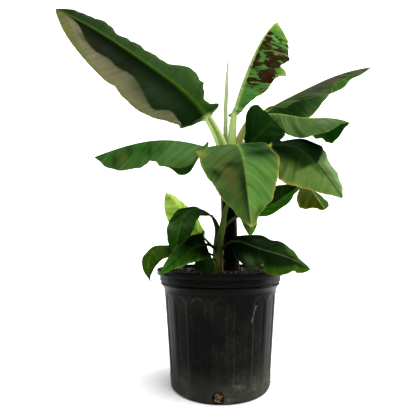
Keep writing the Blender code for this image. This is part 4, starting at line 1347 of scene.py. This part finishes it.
@dataclass
class Plan:
    """A leaf laid flat, as rows of points along it by columns across it.

    at is each row's place from the stalk's foot (0) to the tip (1), and down_stalk goes from 0
    where the blade starts to 1 at the foot. The rest are grids. blade is the place from the
    blade's start (0) to its tip (1). share is the distance from the rib as a share of the half's
    width, sign is 1 on the left half and -1 on the right, and half and reach are that width and
    that distance in metres. opened goes from 0 on the stalk to 1 on the open blade, and fullness
    from 0 on a narrow half to 1 on a wide one. vein is the distance along the rib where the vein
    through a point starts.
    """
    at: np.ndarray
    down_stalk: np.ndarray
    blade: np.ndarray
    share: np.ndarray
    sign: np.ndarray
    half: np.ndarray
    reach: np.ndarray
    opened: np.ndarray
    fullness: np.ndarray
    vein: np.ndarray
    seed: int

    def sided(self, pair):
        """Return the first of a pair on the left half, and the second on the right."""
        return np.where(self.sign > 0, *pair)


def leaf_plan(leaf):
    """Lay out a leaf's rows, closer at both ends, and its columns, closer at the rib.

    A vein starts at its point's own distance, less slant times the reach, times the 0.3rd power
    of the share, so that it bends most near the rib.
    """
    seed = len(leaf.name) * 7 + int(leaf.length * 1000)
    blade_length = leaf.length - leaf.stalk
    stalk_share = leaf.stalk / leaf.length
    even = np.linspace(0.0, 1.0, int(blade_length / ROW_PITCH))
    rows = 0.45 * even + 0.55 * (1 - np.cos(even * math.pi)) / 2
    at = np.concatenate([np.linspace(0.0, LAST_STALK_ROW, STALK_ROWS) * stalk_share,
                         stalk_share + (1 - stalk_share) * rows])
    half_columns = np.linspace(0.0, 1.0, int(max(leaf.width) / COLUMN_PITCH) + 6)**1.35
    across = np.concatenate([-half_columns[:0:-1], half_columns])
    share = np.broadcast_to(np.abs(across), (len(at), len(across)))
    sign = np.broadcast_to(np.where(across > 0, 1.0, -1.0), share.shape)
    place = np.clip((at - stalk_share) / (1 - stalk_share), 0.0, 1.0)
    blade = np.broadcast_to(place[:, None], share.shape)
    opened = smoothstep(blade / BLADE_OPENS_BY)
    down_stalk = np.clip(1 - at / stalk_share, 0.0, 1.0)[:, None]
    stalk_half = leaf.stalk_radius * (1 - STALK_NARROWING * (1 - down_stalk))
    stalk_half = (stalk_half + leaf.wings * down_stalk**0.7) * (1 - opened)
    half = np.where(sign > 0, *leaf.width) * blade_profile(leaf, place)[:, None]
    half = half * torn_share(leaf, blade, sign, seed)
    half = np.maximum(half, np.maximum(stalk_half, LEAST_HALF_WIDTH))
    reach = half * share
    return Plan(at=at, down_stalk=down_stalk, blade=blade, share=share, sign=sign, half=half,
                reach=reach, opened=opened, fullness=smoothstep(half / 0.02),
                vein=blade * blade_length - leaf.slant * reach * share**0.3, seed=seed)


def bent_sheet(leaf, plan):
    """Return the surface in the middle of a leaf's thickness, and where its upper face looks.

    Each half is an arc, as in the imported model: its chord to a share s of its width leaves the
    rib at fold + curl * s / 2. A winged stalk is hollow above.
    """
    points, along, left, normal = rib_frame(leaf, plan.at)
    fold_left, fold_right = (smooth_values(fold, plan.blade) for fold in leaf.fold)
    fold = plan.sided((fold_left, fold_right))
    curl = plan.sided(leaf.curl)
    hollow = STALK_HOLLOW * smoothstep(1 - plan.blade / 0.02) * min(1.0, leaf.wings / FULL_WINGS)
    chord = np.radians((fold + curl * plan.share / 2) * plan.opened + hollow * plan.share)
    on_rib = (fold_right - fold_left) / 2
    tilt = np.where(plan.share == 0, on_rib, fold + curl * plan.share) * plan.opened
    tilt = np.radians(tilt + 2 * hollow * plan.share)
    out = plan.sign[..., None] * left[:, None]
    up = normal[:, None]
    sheet = points[:, None] + (plan.reach * np.cos(chord))[..., None] * out
    sheet = sheet + (plan.reach * np.sin(chord))[..., None] * up
    sheet = sheet + (plan.reach * leaf.sweep * plan.opened)[..., None] * along[:, None]
    return sheet, np.cos(tilt)[..., None] * up - np.sin(tilt)[..., None] * out


def relief(leaf, leaves, plan):
    """Return how far waves, raised veins and pleats lift each point of a leaf.

    Waves are sines along the blade that grow towards its margins. Raised veins are sines of the
    distance where a vein starts, with gaps that vary, and pleats are ripples along the veins.
    """
    turns = TURN * leaf.waves * plan.blade + plan.sided(WAVE_STARTS)
    wave = plan.sided(leaf.wave) * np.sin(turns + 0.8 * np.sin(7 * plan.blade + plan.seed))
    lift = wave * plan.share**2.2 * np.sin(math.pi * np.clip(plan.blade, 0, 1))**0.5
    pitch = leaves.vein_pitch * min(1.0, max(leaf.width) / LARGE_LEAF)
    veins = np.sin(TURN * plan.vein / pitch + 2.5 * np.sin(plan.vein / pitch * 0.9 + plan.seed))
    flank = smoothstep(plan.reach / 0.012) * smoothstep((1 - plan.share) / 0.12)
    lift = lift + leaves.vein_height * veins * flank * plan.fullness * plan.opened
    places = np.stack([plan.vein, plan.reach * plan.sign * 0.25], -1)
    pleats = ripples(places, PLEAT_SIZE, plan.seed + 3) * smoothstep(plan.share / 0.6)
    return lift + PLEAT_HEIGHT * pleats * plan.fullness * plan.opened


def thicknesses(leaf, leaves, plan, rib):
    """Return how far a leaf's upper and lower face lie from the middle of its thickness.

    The blade is thinner at its margins. Its rib is a bell: a groove above and a ridge below. The
    stalk is a half round, and its foot is swollen.
    """
    radius = leaf.stalk_radius
    bell = np.exp(-(plan.reach / np.maximum(rib, 0.0004))**2 * 1.4)
    thin = leaves.thickness / 2 * (MARGIN_THICKNESS + (1 - MARGIN_THICKNESS) * (1 - plan.share**6))
    swelling = leaf.bulk * plan.down_stalk**0.6
    over = radius * (0.10 + 0.25 * plan.share**2) * (1 - plan.opened)
    over = over + (thin - GROOVE_DEPTH * rib * bell) * plan.opened + 0.35 * radius * swelling
    under = radius * (0.10 + 0.85 * np.sqrt(1 - plan.share**2)) * (1 - plan.opened)
    under = under * (1 + 0.6 * swelling) + (thin + RIDGE_DEPTH * rib * bell) * plan.opened
    return over, under


def leaf_paint(leaf, under, plan):
    """Return the colour of each point of the upper or the lower face.

    Each half goes from its base colour to its tip colour, and the lower face is greyer. Zones,
    spots, the rib, the margin and the stalk are blended over it.
    """
    left_base, left_tip, right_base, right_tip = (np.array(colour) for colour in leaf.tints)
    is_left = (plan.sign > 0)[..., None]
    colour = np.where(is_left, blend(left_base, left_tip, plan.blade),
                      blend(right_base, right_tip, plan.blade))
    faces = {LEFT: plan.sign > 0, RIGHT: plan.sign <= 0}
    if under:
        colour = blend(colour, np.array(GREY_GREEN), np.full_like(plan.blade, 0.45))
        faces = {LEFT_UNDER: plan.sign > 0, RIGHT_UNDER: plan.sign <= 0}
    for face, start, soft, zone_tint, strength in leaf.zones:
        if face in faces:
            mask = smoothstep((plan.share - smooth_values(start, plan.blade)) / soft + 0.5)
            colour = blend(colour, zone_tint, mask * strength * faces[face])
    for face, place, across, place_size, across_size, spot_tint, strength in leaf.spots:
        if face in faces:
            bell = np.exp(-((plan.blade - place) / place_size)**2
                          - ((plan.share - across) / across_size)**2)
            colour = blend(colour, spot_tint, bell * strength * faces[face])
    rib = leaf.stalk_radius * (0.75 - 0.45 * plan.blade)
    on_rib = np.exp(-(plan.reach / rib)**2)
    colour = blend(colour, leaf.rib_tint, on_rib * (0.9 if under else 0.8))
    colour = blend(colour, leaf.margin_tint, smoothstep((plan.share - 0.965) / 0.02) * 0.6)
    by_rib = np.exp(-(plan.reach / (1.6 * leaf.stalk_radius))**4)
    by_rib = np.where(plan.blade > 0, by_rib, 1.0)
    return blend(colour, leaf.stalk_tint, smoothstep(1 - plan.blade / 0.03) * by_rib)


def ring_of(upper, lower):
    """Join the rows of a leaf's upper face to those of its lower face, as rings round it."""
    return np.concatenate([upper, lower[:, ::-1]], axis=1)


def leaf_grid(leaf, leaves):
    """Return a leaf's rings of points, what its finish reads from them, and their flat places.

    The flat places are where a point's vein starts, and how far the point is from the rib.
    Blotches are sparse where the blade starts and stop short of its tip.
    """
    plan = leaf_plan(leaf)
    rib = leaf.stalk_radius * RIB_DEPTH * (1 - plan.blade)
    sheet, face = bent_sheet(leaf, plan)
    sheet = sheet + relief(leaf, leaves, plan)[..., None] * face
    over, under = thicknesses(leaf, leaves, plan, rib)
    grid = ring_of(sheet + over[..., None] * face, sheet - under[..., None] * face)
    blotch = plan.sided(leaf.blotch) * smoothstep((plan.reach - 1.1 * rib) / 0.003)
    blotch = blotch * (0.25 + 0.75 * smoothstep((plan.blade - 0.22) / 0.14))
    blotch = blotch * smoothstep((0.97 - plan.blade) / 0.1)
    grain = plan.opened * plan.fullness * leaf.grain
    values = {"paint": ring_of(leaf_paint(leaf, False, plan), leaf_paint(leaf, True, plan)),
              "blotch": ring_of(blotch, blotch), "open": ring_of(grain, grain)}
    flat = np.stack([plan.vein, plan.reach * plan.sign], -1)
    return grid, values, ring_of(flat, flat)


def leaf_faces(grid):
    """Return the faces round a leaf's rings, and those that close the stalk's foot and the tip."""
    rows, around, _ = grid.shape
    column = np.arange(around // 2 - 1)
    foot = np.stack([column, column + 1, around - 2 - column, around - 1 - column], -1)
    tip = foot[:, ::-1] + (rows - 1) * around
    return [grid_faces(rows, around, True), foot, tip]


def leaf_finish(slot):
    """A blade's finish: its paint, with streaks, veins, mottling, blotches and a waxy gloss.

    The first blade coordinate is the place where a vein starts, so what hardly changes along the
    second one follows the veins.
    """
    finish = Finish(slot, Subsurface_Weight=0.12, Subsurface_Scale=0.002,
                    Subsurface_Radius=(0.9, 1.0, 0.25), Specular_IOR_Level=0.018)
    opened = finish.attribute("open", "Fac")
    streaks = finish.noise(finish.across_blade((75.0, 9.0, 1.0)), 1.0, 3.0, 0.6)
    lines = finish.noise(finish.across_blade((420.0, 14.0, 1.0)), 1.0, 2.0, 0.5)
    mottle = finish.noise(finish.across_blade((1.0, 1.0, 1.0)), 60.0, 5.0, 0.62)
    cloud = finish.noise(finish.across_blade((1.0, 1.0, 1.0)), 16.0, 3.0, 0.55)
    # Each layer multiplies the paint by a tint, where its pattern shows and by its strength
    layers = (
        (streaks.step(0.50, 0.68) * opened, 0.60, (1.55, 1.42, 1.50)),
        (streaks.step(0.50, 0.34) * opened, 0.65, (0.50, 0.58, 0.45)),
        (lines.step(0.48, 0.68) * opened, 0.40, (1.45, 1.38, 1.30)),
        (lines.step(0.50, 0.32) * opened, 0.40, (0.66, 0.72, 0.60)),
        (mottle.step(0.40, 0.70), 0.25, (0.62, 0.70, 0.55)),
        (cloud.step(0.45, 0.72), 0.35, (1.35, 1.22, 1.10)),
    )
    colour = finish.attribute("paint", "Color")
    for pattern, strength, change in layers:
        colour = finish.mix(pattern * strength, colour, change, "MULTIPLY")
    blotch = finish.attribute("blotch", "Fac")
    islands = finish.noise(finish.across_blade((78.0, 30.0, 1.0)), 1.0, 4.0, 0.62, 0.6)
    maroon = finish.mix(mottle.step(0.45, 0.65), MAROON, DULL_MAROON)
    islands = islands + (blotch * 0.30 - 0.30)
    colour = finish.mix(islands.step(0.470, 0.495), colour, maroon)
    finish.feed("Base Color", colour)
    finish.feed("Roughness", mottle * 0.18 + cloud * 0.14 + 0.38)
    finish.bump(lines * opened * 0.6 + mottle * 0.3, 0.0003, 0.6)
    return finish.material


class BANANA_OT_leaves(bpy.types.Operator):
    """Make every leaf, each with its stalk, rib, veins and margin"""
    bl_idname = "banana.leaves"
    bl_label = "Leaves"

    def execute(self, context):
        leaves = context.scene.banana_leaves
        finishes = {slot: leaf_finish(slot) for slot in sorted({leaf.slot for leaf in LEAVES})}
        for leaf in LEAVES:
            grid, values, flat = leaf_grid(leaf, leaves)
            attributes = {key: value.reshape(grid[..., 0].size, *value.shape[2:])
                          for key, value in values.items()}
            piece = new_piece(leaf.name.replace("leaf", "blade"), grid.reshape(-1, 3),
                              leaf_faces(grid), finishes[leaf.slot], attributes,
                              flat.reshape(-1, 2))
            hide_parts(leaf.name)
        return {"FINISHED"}


# ---------------------------------------------------------------- stage

CAMERA_PLACE = (0.0, -0.82, 0.32)
CAMERA_TURN = (95.4, 0.0, 1.933)
CAMERA_LENS = 30.0
FLOOR_SIZE = 40.0
SUN_PLACE = (0.60, -0.10, 2.0)
SUN_TARGET = (0.0, 0.0, 0.3)
SUN_SPREAD = 75.0
PANEL_SIZE = 1.1
PANEL_PLACE = (1.9, 0.5, 0.9)
PANEL_TARGET = (0.0, 0.0, 0.4)
LEFT_PANEL_SHARE = 0.7


def soft_light(data, place, target):
    """Add a light at a place, facing a target."""
    light = bpy.data.objects.new(data.name, data)
    bpy.context.scene.collection.objects.link(light)
    light.location = place
    away = light.location - type(light.location)(target)
    light.rotation_euler = away.to_track_quat("Z", "Y").to_euler()


def studio_air(strength):
    """Return a white world that lights the plant less than it shows behind it."""
    world = bpy.data.worlds.new("studio")
    world.use_nodes = True
    nodes = world.node_tree.nodes
    links = world.node_tree.links
    dim = nodes["Background"]
    dim.inputs["Color"].default_value = (1.0, 1.0, 1.0, 1.0)
    dim.inputs["Strength"].default_value = strength
    white = nodes.new("ShaderNodeBackground")
    white.inputs["Color"].default_value = (1.0, 1.0, 1.0, 1.0)
    mix = nodes.new("ShaderNodeMixShader")
    path = nodes.new("ShaderNodeLightPath")
    links.new(path.outputs["Is Camera Ray"], mix.inputs[0])
    links.new(dim.outputs[0], mix.inputs[1])
    links.new(white.outputs[0], mix.inputs[2])
    links.new(mix.outputs[0], nodes["World Output"].inputs["Surface"])
    return world


class BANANA_OT_stage(bpy.types.Operator):
    """Make the floor, the studio's lights and the camera"""
    bl_idname = "banana.stage"
    bl_label = "Studio"

    def execute(self, context):
        stage = context.scene.banana_stage
        half = FLOOR_SIZE / 2
        mesh = bpy.data.meshes.new("floor")
        mesh.from_pydata([(-half, -half, 0), (half, -half, 0), (half, half, 0), (-half, half, 0)],
                         [], [(0, 1, 2, 3)])
        floor = bpy.data.objects.new("floor", mesh)
        context.scene.collection.objects.link(floor)
        finish = Finish("floor", Roughness=0.9)
        finish.shader.inputs["Base Color"].default_value = (*stage.floor, 1.0)
        mesh.materials.append(finish.material)
        context.scene.world = studio_air(stage.air)
        sun = bpy.data.lights.new("overhead", "SUN")
        sun.energy = stage.overhead
        sun.angle = math.radians(SUN_SPREAD)
        soft_light(sun, SUN_PLACE, SUN_TARGET)
        for side, share in ((-1, LEFT_PANEL_SHARE), (1, 1.0)):
            panel = bpy.data.lights.new("panel", "AREA")
            panel.size = PANEL_SIZE
            panel.energy = stage.side_watts * share
            soft_light(panel, (side * PANEL_PLACE[0], *PANEL_PLACE[1:]), PANEL_TARGET)
        data = bpy.data.cameras.new("camera")
        data.lens = CAMERA_LENS
        camera = bpy.data.objects.new("camera", data)
        context.scene.collection.objects.link(camera)
        camera.location = CAMERA_PLACE
        camera.rotation_euler = [math.radians(turn) for turn in CAMERA_TURN]
        context.scene.camera = camera
        context.scene.view_settings.view_transform = "Standard"
        context.scene.view_settings.look = "High Contrast"
        context.scene.view_settings.exposure = 0.35
        return {"FINISHED"}


# ---------------------------------------------------------------- add-on

STEPS = (BANANA_OT_pot, BANANA_OT_soil, BANANA_OT_stems, BANANA_OT_spear, BANANA_OT_leaves,
         BANANA_OT_stage)


class BANANA_PT_panel(bpy.types.Panel):
    """Settings and steps of the banana plant"""
    bl_label = "Banana Plant"
    bl_idname = "BANANA_PT_panel"
    bl_space_type = "VIEW_3D"
    bl_region_type = "UI"
    bl_category = "Banana Plant"

    def draw(self, context):
        for name, group in SETTINGS.items():
            box = self.layout.box()
            for setting in group.__annotations__:
                box.prop(getattr(context.scene, name), setting)
        for step in STEPS:
            self.layout.operator(step.bl_idname)


def register():
    """Register the settings, the steps and the panel."""
    for group in (*SETTINGS.values(), *STEPS, BANANA_PT_panel):
        bpy.utils.register_class(group)
    for name, group in SETTINGS.items():
        setattr(bpy.types.Scene, name, bpy.props.PointerProperty(type=group))


def unregister():
    """Remove what register added."""
    for name in SETTINGS:
        delattr(bpy.types.Scene, name)
    for group in (BANANA_PT_panel, *reversed(STEPS), *reversed(list(SETTINGS.values()))):
        bpy.utils.unregister_class(group)


def main():
    """Make every piece and the studio."""
    register()
    for step in STEPS:
        operator = getattr(bpy.ops.banana, step.bl_idname.split(".")[1])
        if operator() != {"FINISHED"}:
            raise RuntimeError(step.bl_label + " did not finish")


if __name__ == "__main__":
    main()
